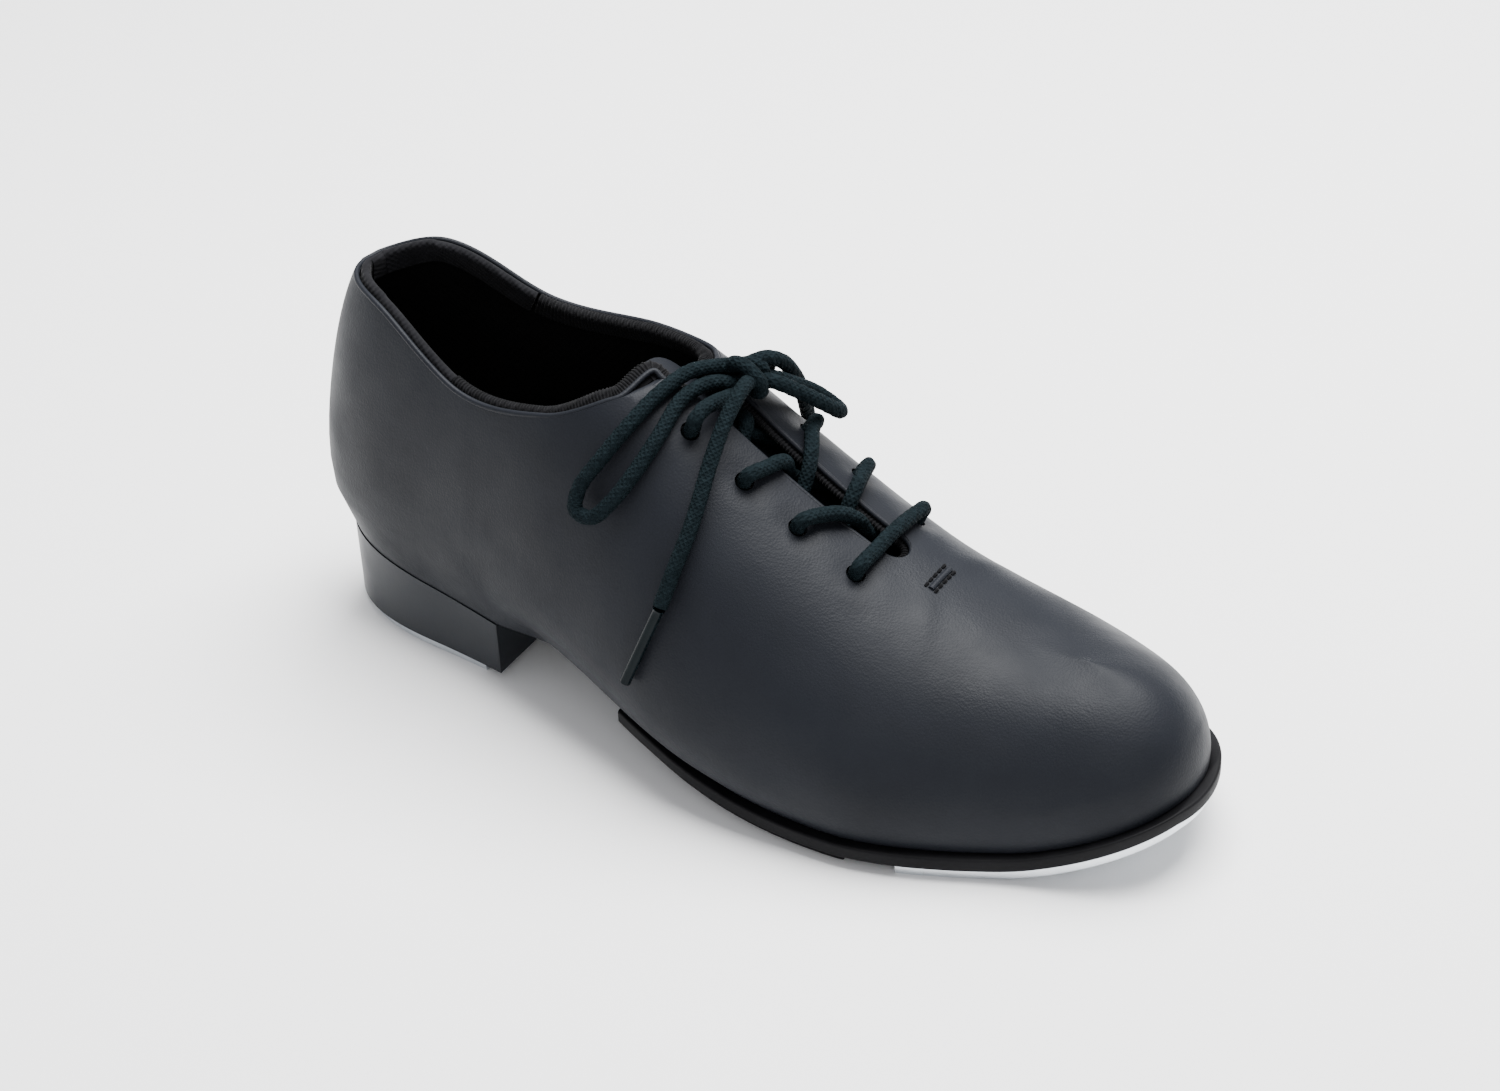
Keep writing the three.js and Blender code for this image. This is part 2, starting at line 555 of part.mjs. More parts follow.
const screwProfile = (grow, length) => [
  [0, -grow], [SCREW_HEAD_RADIUS + grow, -grow], [SCREW_HEAD_RADIUS + grow, 0.4],
  [SCREW_SHANK_RADIUS + grow, 2.1], [SCREW_SHANK_RADIUS + grow, length], [0, length + 0.8 + grow],
];
const screwAt = (x, y, z, slope, length) => {
  const point = new THREE.Vector3(x, y, z);
  const direction = new THREE.Vector3(-slope, 0, 1).normalize();
  const holeProfile = [[0, -5], [SCREW_HEAD_RADIUS + GAP, -5], ...screwProfile(GAP, length).slice(2)];
  return {
    body: turned(screwProfile(0, length), point, direction, 12),
    room: turned(holeProfile, point, direction, 12),
  };
};
const SCREW_SUNK = 0.15;
const toeScrews = [[0.8, -25], [0.8, 24], [0.925, -1]].map(([share, y]) => {
  const x = at(share);
  const slope = (feather(x + 1) - feather(x - 1)) / 2;
  return screwAt(x, y, feather(x) - BALL_Z + SCREW_SUNK, slope, SCREW_LENGTH);
});
const toeRoom = toeScrews.map(({ room }) => room).reduce((all, room) => all.add(room));
const SOLE_UNDER = -GAP - SOLE_WALL;
const sole = sheetAt(-SOLE_EDGE, SOLE_START, LENGTH, SOLE_UNDER, -GAP).subtract(toeRoom);
addPart('forefoot_sole', sole, BLACK, 0.75, 0);
const padTop = SOLE_UNDER - GAP;
const pad = sheetAt(PAD_SET_IN - SOLE_EDGE, PAD_START, PAD_END, padTop - PAD_WALL, padTop);
addPart('rubber_pad', pad, BLACK, 0.9, 0);
const tapTop = -BALL_Z + TAP_WALL;
const toeTap = sheetAt(TAP_SET_IN - SOLE_EDGE, TAP_START, LENGTH, -BALL_Z, tapTop).subtract(toeRoom);
addPart('toe_tap', toeTap, METAL, 0.35, 1);
toeScrews.forEach(({ body }, i) => addPart(`toe_tap_screw_${i + 1}`, body, METAL, 0.3, 1));

const heelScrews = [[11, 0], [43, -15], [43, 15]].map(([x, y]) =>
  screwAt(x, y, SCREW_SUNK, 0, SCREW_LENGTH + 3));
const heelRoom = heelScrews.map(({ room }) => room).reduce((all, room) => all.add(room));
const heelBlock = soleSheet(-0.4, 0, HEEL_LENGTH, () => TAP_WALL + GAP, (x) => feather(x) - GAP)
  .subtract(heelRoom).subtract(nailRoom);
addPart('heel_block', heelBlock, SLATE, 0.4, 0);
const heelTap = soleSheet(HEEL_TAP_SET_IN, 0, HEEL_TAP_LENGTH, () => 0, () => TAP_WALL).subtract(heelRoom);
addPart('heel_tap', heelTap, METAL, 0.35, 1);
heelScrews.forEach(({ body }, i) => addPart(`heel_tap_screw_${i + 1}`, body, METAL, 0.3, 1));
nails.forEach(({ body }, i) => addPart(`heel_nail_${i + 1}`, body, METAL, 0.4, 1));

// ---- Tongue ----
const TONGUE_TIP = at(0.377);
const TONGUE_ROOT = at(0.757);
const tongueIn = smooth([[at(0.67), TONGUE_IN], [at(0.74), LINING_OUT + GAP]]);
const tongueOutline = [];
for (let i = 0; i <= 10; i += 1) {
  const angle = Math.PI / 2 + (Math.PI * i) / 10;
  tongueOutline.push([TONGUE_TIP + 14 + 14 * Math.cos(angle), THROAT_Y + TONGUE_HALF * Math.sin(angle)]);
}
tongueOutline.push([TONGUE_ROOT, THROAT_Y - TONGUE_HALF * 0.7], [TONGUE_ROOT, THROAT_Y + TONGUE_HALF * 0.7]);
const [tongueBack, tongueFront] = [TONGUE_TIP - 20, TONGUE_ROOT + 10];
const overWaist = sidePrism(
  [[tongueBack, 66], [tongueFront, 36], [tongueFront, FAR], [tongueBack, FAR]], -FAR, FAR);
const tonguePrism = planPrism(tongueOutline, 35, FAR).intersect(overWaist);
const tongueLayer = (from, to) =>
  lastSolid((x) => tongueIn(x) + from).subtract(lastSolid((x) => tongueIn(x) + to)).intersect(tonguePrism);
addPart('tongue', tongueLayer(0, TONGUE_WALL), SLATE, 0.5, 0);
const tongueCloth = tongueLayer(TONGUE_WALL + GAP, TONGUE_WALL + GAP + TONGUE_LINING_WALL);
addPart('tongue_lining', tongueCloth, CLOTH, 0.95, 0);

// ---- Bar tack, sewn through the upper just past the throat ----
const TACK_LONG = 10.5;
const TACK_WIDE = 3.2;
const TACK_X = THROAT_END + 10.5;
const tackPlan = planPrism([[-1, -1], [1, -1], [1, 1], [-1, 1]].map(([a, b]) =>
  [TACK_X + (a * TACK_WIDE) / 2, THROAT_Y - 1.5 + (b * TACK_LONG) / 2]), 35, FAR);
addPart('bar_tack', lastSolid(-GAP - 0.5).subtract(lastSolid(-GAP)).intersect(tackPlan), BLACK, 0.8, 0);

// ---- Lace pieces ----
const knotRoom = knotBall(GAP);
addPart('lace_held', laceTube(LACE_HELD, LACE_RADIUS, HELD_STEPS), LACE_BLUE, 0.9, 0);
addPart('lace_knot', knotBall(0), LACE_BLUE, 0.9, 0);
const strands = {
  lace_riser_outer: OUTER_RISER,
  lace_riser_inner: INNER_RISER,
  lace_loop_outer: OUTER_LOOP,
  lace_loop_inner: INNER_LOOP,
  lace_end_outer: OUTER_END,
  lace_end_inner: INNER_END,
};
for (const [name, points] of Object.entries(strands)) {
  const strand = laceTube(vectors(points), LACE_RADIUS, points.length + 1);
  addPart(name, strand.subtract(knotRoom), LACE_BLUE, 0.9, 0);
}
for (const [name, [top, tip]] of [['aglet_outer', OUTER_AGLET], ['aglet_inner', INNER_AGLET]]) {
  const start = new THREE.Vector3(...top);
  const direction = new THREE.Vector3(...tip).sub(start).normalize();
  const profile = [[0, 0], [AGLET_RADIUS, 0], [AGLET_RADIUS, AGLET_LENGTH - 1], [0, AGLET_LENGTH]];
  addPart(name, turned(profile, start, direction, 12), BLACK, 0.15, 0);
}

group.position.x = -HEEL_CENTRE;
export default group;
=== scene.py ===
# %% [markdown]
# # A lace-up tap shoe
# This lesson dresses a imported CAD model. The CAD gives every size and place, and these cells make
# the surfaces that the eye meets: leather, tape, braided lace, rubber and metal.
# Everything is in metres, +X points to the toe and +Z up.

# %% Load the frame
import json
import math

import bmesh
import bpy
import numpy as np
from mathutils import Matrix, Vector


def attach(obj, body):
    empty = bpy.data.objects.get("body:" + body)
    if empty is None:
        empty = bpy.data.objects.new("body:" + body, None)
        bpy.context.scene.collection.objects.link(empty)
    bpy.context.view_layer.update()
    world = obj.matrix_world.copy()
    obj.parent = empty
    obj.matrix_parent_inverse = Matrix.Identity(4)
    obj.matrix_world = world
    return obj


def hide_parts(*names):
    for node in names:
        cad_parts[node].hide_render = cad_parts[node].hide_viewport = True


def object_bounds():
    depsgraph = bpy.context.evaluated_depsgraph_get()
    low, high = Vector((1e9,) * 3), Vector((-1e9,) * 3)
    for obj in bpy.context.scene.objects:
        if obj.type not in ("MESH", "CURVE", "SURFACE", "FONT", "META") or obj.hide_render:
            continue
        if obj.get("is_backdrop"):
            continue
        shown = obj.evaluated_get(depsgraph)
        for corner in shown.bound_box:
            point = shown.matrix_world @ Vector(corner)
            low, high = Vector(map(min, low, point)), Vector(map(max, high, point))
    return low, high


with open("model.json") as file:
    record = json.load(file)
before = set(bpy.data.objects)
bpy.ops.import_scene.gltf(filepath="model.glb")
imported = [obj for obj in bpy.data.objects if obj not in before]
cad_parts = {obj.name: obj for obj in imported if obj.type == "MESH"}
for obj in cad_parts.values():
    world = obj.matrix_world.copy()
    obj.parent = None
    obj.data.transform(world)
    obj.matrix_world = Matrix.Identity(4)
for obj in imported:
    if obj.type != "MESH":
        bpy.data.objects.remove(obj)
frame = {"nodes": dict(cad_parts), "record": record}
CAD_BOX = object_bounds()
MM = 0.001

# %% [markdown]
# ## Camera
# A product shot looks down on the shoe from the front and outer side, with a long lens so that
# the toe isn't enlarged. The camera is set from three angles and a distance, because those
# say what the view is better than a matrix would.

# %% Camera
AZIMUTH, ELEVATION, ROLL = (math.radians(angle) for angle in (32.49, 35.18, -3.05))
DISTANCE = 0.9096
TARGET = Vector((0.0957, 0.00554, 0.0466))
level = Vector((math.cos(AZIMUTH), math.sin(AZIMUTH), 0))
back = Vector((math.sin(AZIMUTH) * math.cos(ELEVATION), -math.cos(AZIMUTH) * math.cos(ELEVATION),
               math.sin(ELEVATION)))
above = back.cross(level)
camera_x = level * math.cos(ROLL) + above * math.sin(ROLL)
camera_y = above * math.cos(ROLL) - level * math.sin(ROLL)
camera_data = bpy.data.cameras.new("camera")
camera_data.lens = 80
camera_data.sensor_width = 36
camera = bpy.data.objects.new("camera", camera_data)
camera.matrix_world = (Matrix.Translation(TARGET + back * DISTANCE)
                       @ Matrix((camera_x, camera_y, back)).transposed().to_4x4())
bpy.context.scene.collection.objects.link(camera)
bpy.context.scene.camera = camera
print("camera at", [round(v, 3) for v in camera.location])

# %% [markdown]
# ## The last
# A shoe is built on a last, a solid foot form, so every layer is the same form drawn in by its
# depth. Sculpting each layer would let them drift apart. One formula keeps them nested.
# Sizes here are in millimetres from the back of the heel, as a shoemaker writes them.

# %% Sizes of the last
LENGTH = 266
HEEL_CENTRE = 32
HEEL_HALF, WAIST_HALF, JOINT_HALF, BALL_HALF, TOE_HALF = 24.7, 35.8, 44.6, 46.1, 41.7
BACK_HEIGHT, INSTEP_HEIGHT, LACING_HEIGHT = 108.7, 92.4, 71.9
CONE_HEIGHT, TOE_HEIGHT, TIP_HEIGHT = 53.4, 41.5, 40
HEEL_SEAT, TOE_SPRING = 28.3, 13.8
COLLAR_BACK, COLLAR_DIP, COLLAR_DIP_INNER = 109.5, 92.9, 97
GAP = 0.3
UPPER_WALL, LINING_OUT, SOLE_WALL, TAP_WALL = 1.6, 4.2, 4, 3
BALL_Z = TAP_WALL + GAP + SOLE_WALL + GAP
THROAT_Y, THROAT_END, THROAT_ROUND = 3, 178, 4.4


def at(share):
    """A place along the shoe, as a share of its length."""
    return share * LENGTH


HEEL_ROUND, TOE_ROUND = at(0.149), at(0.744)
SPINE_START, SPINE_END = at(0.191), at(0.87)
EYELET_X = [at(0.464), at(0.524), at(0.583), at(0.647)]
EYELET_HALF_SPACING, EYELET_RADIUS = 16.6, 2.7


# %% [markdown]
# A last has no straight lines. Each of its sizes changes along the foot, so each is a smooth curve
# through a few chosen keys. A curve of few keys has no lumps, and a key can be moved on its own.

# %% Smooth curves
def smooth(keys):
    """A smooth curve through a few (x, value) keys, level past its ends."""
    kx, kv = np.array(keys, float).T
    first = np.maximum(np.arange(len(kx)) - 1, 0)
    after = np.minimum(np.arange(len(kx)) + 1, len(kx) - 1)
    slope = (kv[after] - kv[first]) / (kx[after] - kx[first])

    def curve(x):
        x = np.clip(np.asarray(x, float), kx[0], kx[-1])
        i = np.clip(np.searchsorted(kx, x, side="right") - 1, 0, len(kx) - 2)
        run = kx[i + 1] - kx[i]
        t = (x - kx[i]) / run
        values = kv[i] * (2 * t**3 - 3 * t**2 + 1) + kv[i + 1] * (3 * t**2 - 2 * t**3)
        return values + run * (slope[i] * (t**3 - 2 * t**2 + t) + slope[i + 1] * (t**3 - t**2))

    return curve


half_width = smooth([(0, HEEL_HALF), (HEEL_ROUND, HEEL_HALF), (at(0.375), WAIST_HALF),
                     (at(0.536), JOINT_HALF), (at(0.686), BALL_HALF), (at(0.857), TOE_HALF),
                     (LENGTH, TOE_HALF)])
centre_line = smooth([(0, 0), (at(0.125), 0), (at(0.375), 0.4), (at(0.686), -4.5), (at(0.857), 1.2),
                      (LENGTH, -2.6)])
feather_curve = smooth([(0, HEEL_SEAT), (at(0.232), HEEL_SEAT - 7.7), (at(0.41), BALL_Z + 8.5),
                        (at(0.571), BALL_Z + 1.7), (at(0.7), BALL_Z), (at(0.812), BALL_Z),
                        (at(0.88), BALL_Z + 2), (LENGTH, BALL_Z + TOE_SPRING)])
height = smooth([(0, BACK_HEIGHT), (at(0.214), BACK_HEIGHT), (at(0.393), INSTEP_HEIGHT),
                 (at(0.536), LACING_HEIGHT), (at(0.679), CONE_HEIGHT), (at(0.821), TOE_HEIGHT),
                 (LENGTH, TIP_HEIGHT)])
squareness = smooth([(0, 2.98), (at(0.214), 2.98), (at(0.429), 2.64), (at(0.679), 2.39), (LENGTH, 2.37)])
fullness = smooth([(0, 0.117), (at(0.143), 0.092), (at(0.429), 0.198), (at(0.679), 0.066), (LENGTH, 0.005)])
ridge_y = smooth([(0, 0), (at(0.214), 0), (at(0.429), -0.9), (at(0.714), -1.2), (LENGTH, -2.6)])
tuck_outer = smooth([(at(0.24), 0), (at(0.33), 5), (at(0.43), 1), (at(0.5), 0)])
tuck_inner = smooth([(at(0.24), 0), (at(0.38), 12), (at(0.6), 0)])
collar_outer = smooth([(0, COLLAR_BACK), (at(0.036), COLLAR_BACK), (at(0.107), COLLAR_BACK - 2),
                       (at(0.214), COLLAR_DIP), (at(0.321), COLLAR_DIP + 2.2), (at(0.385), 101.6),
                       (at(0.446), 108), (at(0.51), 130)])
collar_inner = smooth([(0, COLLAR_BACK), (at(0.036), COLLAR_BACK), (at(0.107), COLLAR_BACK + 2.9),
                       (at(0.214), COLLAR_DIP_INNER), (at(0.321), COLLAR_DIP_INNER - 1), (at(0.446), 101),
                       (at(0.51), 130)])
throat_half = smooth([(at(0.42), 9.5), (at(0.455), 6.8), (at(0.5), 5.6), (at(0.6), 4.8), (at(0.66), 4.4)])
TUCK_TO, FULLEST = 0.22, 0.207


# %% [markdown]
# With those curves, one formula gives any point of the last from its place along the foot, its side
# and its height. The laces and stitches also need the place on top over a given place in plan, so a
# second function searches for it.

# %% Points on the last
def feather(x):
    """Height of the edge where the upper meets the sole."""
    return np.maximum(feather_curve(x), BALL_Z)


def end_round(x):
    """Rounds the heel and toe in plan: 1 along the sides, 0 at the tips."""
    heel = np.clip((HEEL_ROUND - x) / HEEL_ROUND, 0, 1)
    toe = np.clip((x - TOE_ROUND) / (LENGTH - TOE_ROUND), 0, 1)
    return np.sqrt(1 - heel**2) * (1 - toe**2.07) ** (1 / 2.07)


def spine_at(x):
    """Where on the last's ridge the lines from a station meet."""
    return SPINE_START + (x / LENGTH) * (SPINE_END - SPINE_START)


def last_point(x, side, rise, inset):
    """A point on the last, drawn in by inset. side: -1 outer, 1 inner. rise: 0 at the edge, 1 on top."""
    x, side, rise, inset = np.broadcast_arrays(*(np.asarray(v, float) for v in (x, side, rise, inset)))
    spine_x = spine_at(x)
    spine_y = ridge_y(spine_x)
    edge_y = centre_line(x) + side * half_width(x) * end_round(x)
    power = squareness(x)
    full = 1 + fullness(x) * (rise / FULLEST) * np.exp(1 - rise / FULLEST)
    drawn = 1 - inset / np.hypot(x - spine_x, edge_y - spine_y)
    reach = np.maximum(1 - rise**power, 0) ** (1 / power) * full * drawn
    tuck = np.where(side < 0, tuck_outer(x), tuck_inner(x)) * np.maximum(1 - rise / TUCK_TO, 0) ** 2
    px = spine_x + (x - spine_x) * reach
    py = spine_y + (edge_y - spine_y) * reach - side * tuck
    foot = feather(spine_x + (x - spine_x) * drawn) + inset
    crown = feather(spine_x) + height(px) - inset
    return np.stack([px, py, foot * (1 - rise) + crown * rise], axis=-1)


def top_find(px, py, inset):
    """The point on the last's top over each place in plan."""
    side = np.where(py < ridge_y(px), -1.0, 1.0)
    station = px.copy()
    for _ in range(10):
        low, high = np.full_like(px, 0.3), np.ones_like(px)
        for _ in range(24):
            rise = (low + high) / 2
            point = last_point(station, side, rise, inset)
            short = side * (point[..., 1] - py) > 0
            low, high = np.where(short, rise, low), np.where(short, high, rise)
        station = station + px - point[..., 0]
    return point


def top_points(px, py, inset=0.0):
    """Points on the last's top over places in plan, and the way out of the last there."""
    px, py = np.atleast_1d(np.asarray(px, float)), np.atleast_1d(np.asarray(py, float))
    along = top_find(px + 1, py, inset) - top_find(px - 1, py, inset)
    across = top_find(px, py + 1, inset) - top_find(px, py - 1, inset)
    normal = np.cross(along, across)
    return top_find(px, py, inset), normal / np.linalg.norm(normal, axis=-1, keepdims=True)


print("instep top at", top_points(130, 3)[0].round(1).tolist())


# %% [markdown]
# ## Mesh helpers
# A few small functions turn rows of points into meshes. They are written once, because a tube,
# a tape and a sole are all rows of points joined to the next row.

# %% Mesh helpers
def to_frame(points):
    """Millimetres from the heel's back to metres in the frame."""
    return (np.asarray(points, float) - (HEEL_CENTRE, 0, 0)) * MM


def new_object(name, points, faces, uvs=None):
    mesh = bpy.data.meshes.new(name)
    mesh.from_pydata([tuple(p) for p in points], [], faces)
    if uvs is not None:
        layer = mesh.uv_layers.new(name="UVMap")
        corner_uv = uvs[[i for face in faces for i in face]]
        layer.data.foreach_set("uv", corner_uv.astype(np.float32).ravel())
    mesh.validate()
    made = bpy.data.objects.new(name, mesh)
    bpy.context.scene.collection.objects.link(made)
    return made


def skin(rows, closed_rows=True, closed_loop=False, caps=True):
    """Points and faces of a skin over rows of equally many points."""
    rows = np.asarray(rows, float)
    count, width = rows.shape[:2]
    faces = []
    for i in range(count if closed_loop else count - 1):
        n = (i + 1) % count
        for j in range(width if closed_rows else width - 1):
            k = (j + 1) % width
            faces.append((i * width + j, i * width + k, n * width + k, n * width + j))
    if caps and not closed_loop:
        faces += [tuple(range(width))[::-1], tuple(range((count - 1) * width, count * width))]
    return rows.reshape(-1, 3), faces


def tidy(piece, angle=40, merge=1e-6):
    """Merges doubles, points faces outwards and shades smooth, with edges over the angle kept sharp."""
    bm = bmesh.new()
    bm.from_mesh(piece.data)
    bmesh.ops.remove_doubles(bm, verts=bm.verts, dist=merge)
    bmesh.ops.dissolve_degenerate(bm, edges=bm.edges, dist=merge / 10)
    bmesh.ops.recalc_face_normals(bm, faces=bm.faces)
    bm.to_mesh(piece.data)
    bm.free()
    piece.data.shade_smooth()
    piece.data.set_sharp_from_angle(angle=math.radians(angle))
    return piece


def apply_modifiers(piece):
    """Puts what the modifiers make into the mesh, and removes them."""
    depsgraph = bpy.context.evaluated_depsgraph_get()
    result = bpy.data.meshes.new_from_object(piece.evaluated_get(depsgraph), depsgraph=depsgraph)
    piece.modifiers.clear()
    old, piece.data = piece.data, result
    result.name = piece.name
    bpy.data.meshes.remove(old)
    return piece


def cut(piece, *cutters):
    """Cuts solids away from a solid."""
    for cutter in cutters:
        modifier = piece.modifiers.new("cut", "BOOLEAN")
        modifier.operation = "DIFFERENCE"
        modifier.solver = "MANIFOLD"
        modifier.object = cutter
    apply_modifiers(piece)
    return piece


def discard(*pieces):
    for piece in pieces:
        bpy.data.objects.remove(piece, do_unlink=True)


def joined(name, *pieces):
    """Several pieces as one, with their meshes side by side."""
    bm = bmesh.new()
    for piece in pieces:
        bm.from_mesh(piece.data)
    mesh = bpy.data.meshes.new(name)
    bm.to_mesh(mesh)
    bm.free()
    discard(*pieces)
    made = bpy.data.objects.new(name, mesh)
    bpy.context.scene.collection.objects.link(made)
    return made


# %% [markdown]
# ## Routes and tubes
# A lace is a tube along a route. Blender's own curve bevel can't carry a braid's relief, so
# the tube is a mesh: rings that turn with the route, a little fuller where a strand lies on top.

# %% Routes
def spline(points, spacing):
    """Points evenly spaced along one smooth curve through the given ones."""
    points = np.asarray(points, float)
    ends = np.vstack([2 * points[0] - points[1], points, 2 * points[-1] - points[-2]])
    fine = []
    for a, b, c, d in zip(ends, ends[1:], ends[2:], ends[3:]):
        dt = [max(np.linalg.norm(v) ** 0.5, 1e-4) for v in (b - a, c - b, d - c)]
        start = ((b - a) / dt[0] - (c - a) / (dt[0] + dt[1]) + (c - b) / dt[1]) * dt[1]
        stop = ((c - b) / dt[1] - (d - b) / (dt[1] + dt[2]) + (d - c) / dt[2]) * dt[1]
        t = np.linspace(0, 1, 40, endpoint=False)[:, None]
        bend = 3 * (c - b) - 2 * start - stop
        twist = 2 * (b - c) + start + stop
        fine.append(b + start * t + bend * t**2 + twist * t**3)
    fine = np.vstack([*fine, points[-1:]])
    steps = np.r_[0, np.cumsum(np.linalg.norm(np.diff(fine, axis=0), axis=1))]
    even = np.linspace(0, steps[-1], max(int(steps[-1] / spacing), 4) + 1)
    return np.stack([np.interp(even, steps, fine[:, k]) for k in range(3)], axis=1)


def route_length(points):
    return float(np.linalg.norm(np.diff(points, axis=0), axis=1).sum())


def turning_frames(points):
    """Two directions across a route at each point, carried along it without twist."""
    tangent = np.gradient(points, axis=0)
    tangent /= np.linalg.norm(tangent, axis=1, keepdims=True)
    side = np.cross(tangent[0], (0.3, 0.2, 1))
    sides = []
    for t in tangent:
        side = side - t * side.dot(t)
        side /= np.linalg.norm(side)
        sides.append(side)
    sides = np.array(sides)
    return sides, np.cross(tangent, sides), tangent


def even_radius(millimetres):
    """The radius of a plain tube, as tube() asks for it."""
    return lambda along, angles: np.full(len(angles), millimetres * MM)


def tube(name, points, radius, sides=24):
    """A round tube. radius gives each ring's radii from its distance along and the angles round."""
    across, other, _ = turning_frames(points)
    along = np.r_[0, np.cumsum(np.linalg.norm(np.diff(points, axis=0), axis=1))]
    angles = np.linspace(0, 2 * np.pi, sides, endpoint=False)
    rings = [p + (a[None] * np.cos(angles)[:, None] + b[None] * np.sin(angles)[:, None])
             * np.asarray(radius(s, angles))[:, None] for p, a, b, s in zip(points, across, other, along)]
    verts, faces = skin(rings)
    uvs = np.stack([np.tile(angles / (2 * np.pi), len(points)), np.repeat(along, sides)], axis=1)
    return new_object(name, verts, faces, uvs)


# %% [markdown]
# ## Finishes
# Each finish is one procedural material. Leather gets a pebbled grain and slow changes of tone,
# textile gets a thread pattern and sheen, and metal gets fine scratches.
# They read Object coordinates or the piece's own UV map, so they stay on the piece.

# %% Material helpers
def new_finish(name, color, roughness, metallic=0.0, sheen=0.0, gloss=0.5):
    material = bpy.data.materials.new(name)
    material.use_nodes = True
    tree = material.node_tree
    shader = tree.nodes["Principled BSDF"]
    shader.inputs["Base Color"].default_value = (*color, 1)
    shader.inputs["Roughness"].default_value = roughness
    shader.inputs["Metallic"].default_value = metallic
    shader.inputs["Sheen Weight"].default_value = sheen
    shader.inputs["Sheen Roughness"].default_value = 0.5
    shader.inputs["Specular IOR Level"].default_value = gloss
    return material, tree, shader


def noise(tree, coordinate, scale, detail=3.0, kind="Object"):
    texture = tree.nodes.new("ShaderNodeTexNoise")
    texture.inputs["Scale"].default_value = scale
    texture.inputs["Detail"].default_value = detail
    tree.links.new(coordinate.outputs[kind], texture.inputs["Vector"])
    return texture.outputs["Fac"]


def mapped(tree, value, low, high):
    """Stretches a 0 to 1 value to run from low to high."""
    node = tree.nodes.new("ShaderNodeMapRange")
    node.inputs["From Min"].default_value = 0.3
    node.inputs["From Max"].default_value = 0.7
    node.inputs["To Min"].default_value = low
    node.inputs["To Max"].default_value = high
    tree.links.new(value, node.inputs["Value"])
    return node.outputs["Result"]


def tones(tree, value, dark, light):
    """A colour that goes from dark to light with the value."""
    node = tree.nodes.new("ShaderNodeMix")
    node.data_type = "RGBA"
    node.inputs["A"].default_value = (*dark, 1)
    node.inputs["B"].default_value = (*light, 1)
    tree.links.new(mapped(tree, value, 0, 1), node.inputs["Factor"])
    return node.outputs["Result"]


def relief(tree, shader, value, depth, strength=1.0, over=None):
    """Bumps the surface by the value; over is a relief that this one adds to."""
    node = tree.nodes.new("ShaderNodeBump")
    node.inputs["Distance"].default_value = depth
    node.inputs["Strength"].default_value = strength
    tree.links.new(value, node.inputs["Height"])
    if over:
        tree.links.new(over, node.inputs["Normal"])
    tree.links.new(node.outputs["Normal"], shader.inputs["Normal"])
    return node.outputs["Normal"]


def math_node(tree, operation, *values):
    node = tree.nodes.new("ShaderNodeMath")
    node.operation = operation
    for socket, value in zip(node.inputs, values):
        if isinstance(value, (int, float)):
            socket.default_value = value
        else:
            tree.links.new(value, socket)
    return node.outputs["Value"]


# %% [markdown]
# The upper is matte coated leather, almost black, with a grain that is felt more than seen. An image
# would blur up close, so cells of Voronoi noise make the pebbles, and a softer noise makes the
# slow changes in tone and shine.

# %% Leather
def leather(name, dark, light, roughness):
    """Fine pebbled leather with a soft change of tone over the piece."""
    material, tree, shader = new_finish(name, light, roughness, gloss=0.1)
    place = tree.nodes.new("ShaderNodeTexCoord")
    tree.links.new(tones(tree, noise(tree, place, 22, 4), dark, light), shader.inputs["Base Color"])
    tree.links.new(mapped(tree, noise(tree, place, 60, 5), roughness - 0.06, roughness + 0.08),
                   shader.inputs["Roughness"])
    pebbles = tree.nodes.new("ShaderNodeTexVoronoi")
    pebbles.inputs["Scale"].default_value = 1600
    tree.links.new(place.outputs["Object"], pebbles.inputs["Vector"])
    grain = relief(tree, shader, pebbles.outputs["Distance"], 0.00012, 0.35)
    relief(tree, shader, noise(tree, place, 420, 6), 0.0002, 0.25, grain)
    return material


# %% [markdown]
# Lining and tapes are woven. Two sets of sine waves cross for the threads, and a finer noise is the
# nap. The lace's yarns run round it, so its pattern follows the tube's own UV map instead.

# %% Cloth and braid
def cloth(name, dark, light, threads=2200, sheen=0.3):
    """Plain cloth: two sets of threads, with nap."""
    material, tree, shader = new_finish(name, light, 0.95, sheen=sheen, gloss=0.12)
    place = tree.nodes.new("ShaderNodeTexCoord")
    tree.links.new(tones(tree, noise(tree, place, 300, 5), dark, light), shader.inputs["Base Color"])
    split = tree.nodes.new("ShaderNodeSeparateXYZ")
    tree.links.new(place.outputs["Object"], split.inputs["Vector"])
    waves = [math_node(tree, "SINE", math_node(tree, "MULTIPLY", split.outputs[axis], threads))
             for axis in ("X", "Z")]
    weave = relief(tree, shader, math_node(tree, "MULTIPLY", *waves), 0.0002, 0.5)
    relief(tree, shader, noise(tree, place, 900, 4), 0.0003, 0.4, weave)
    return material


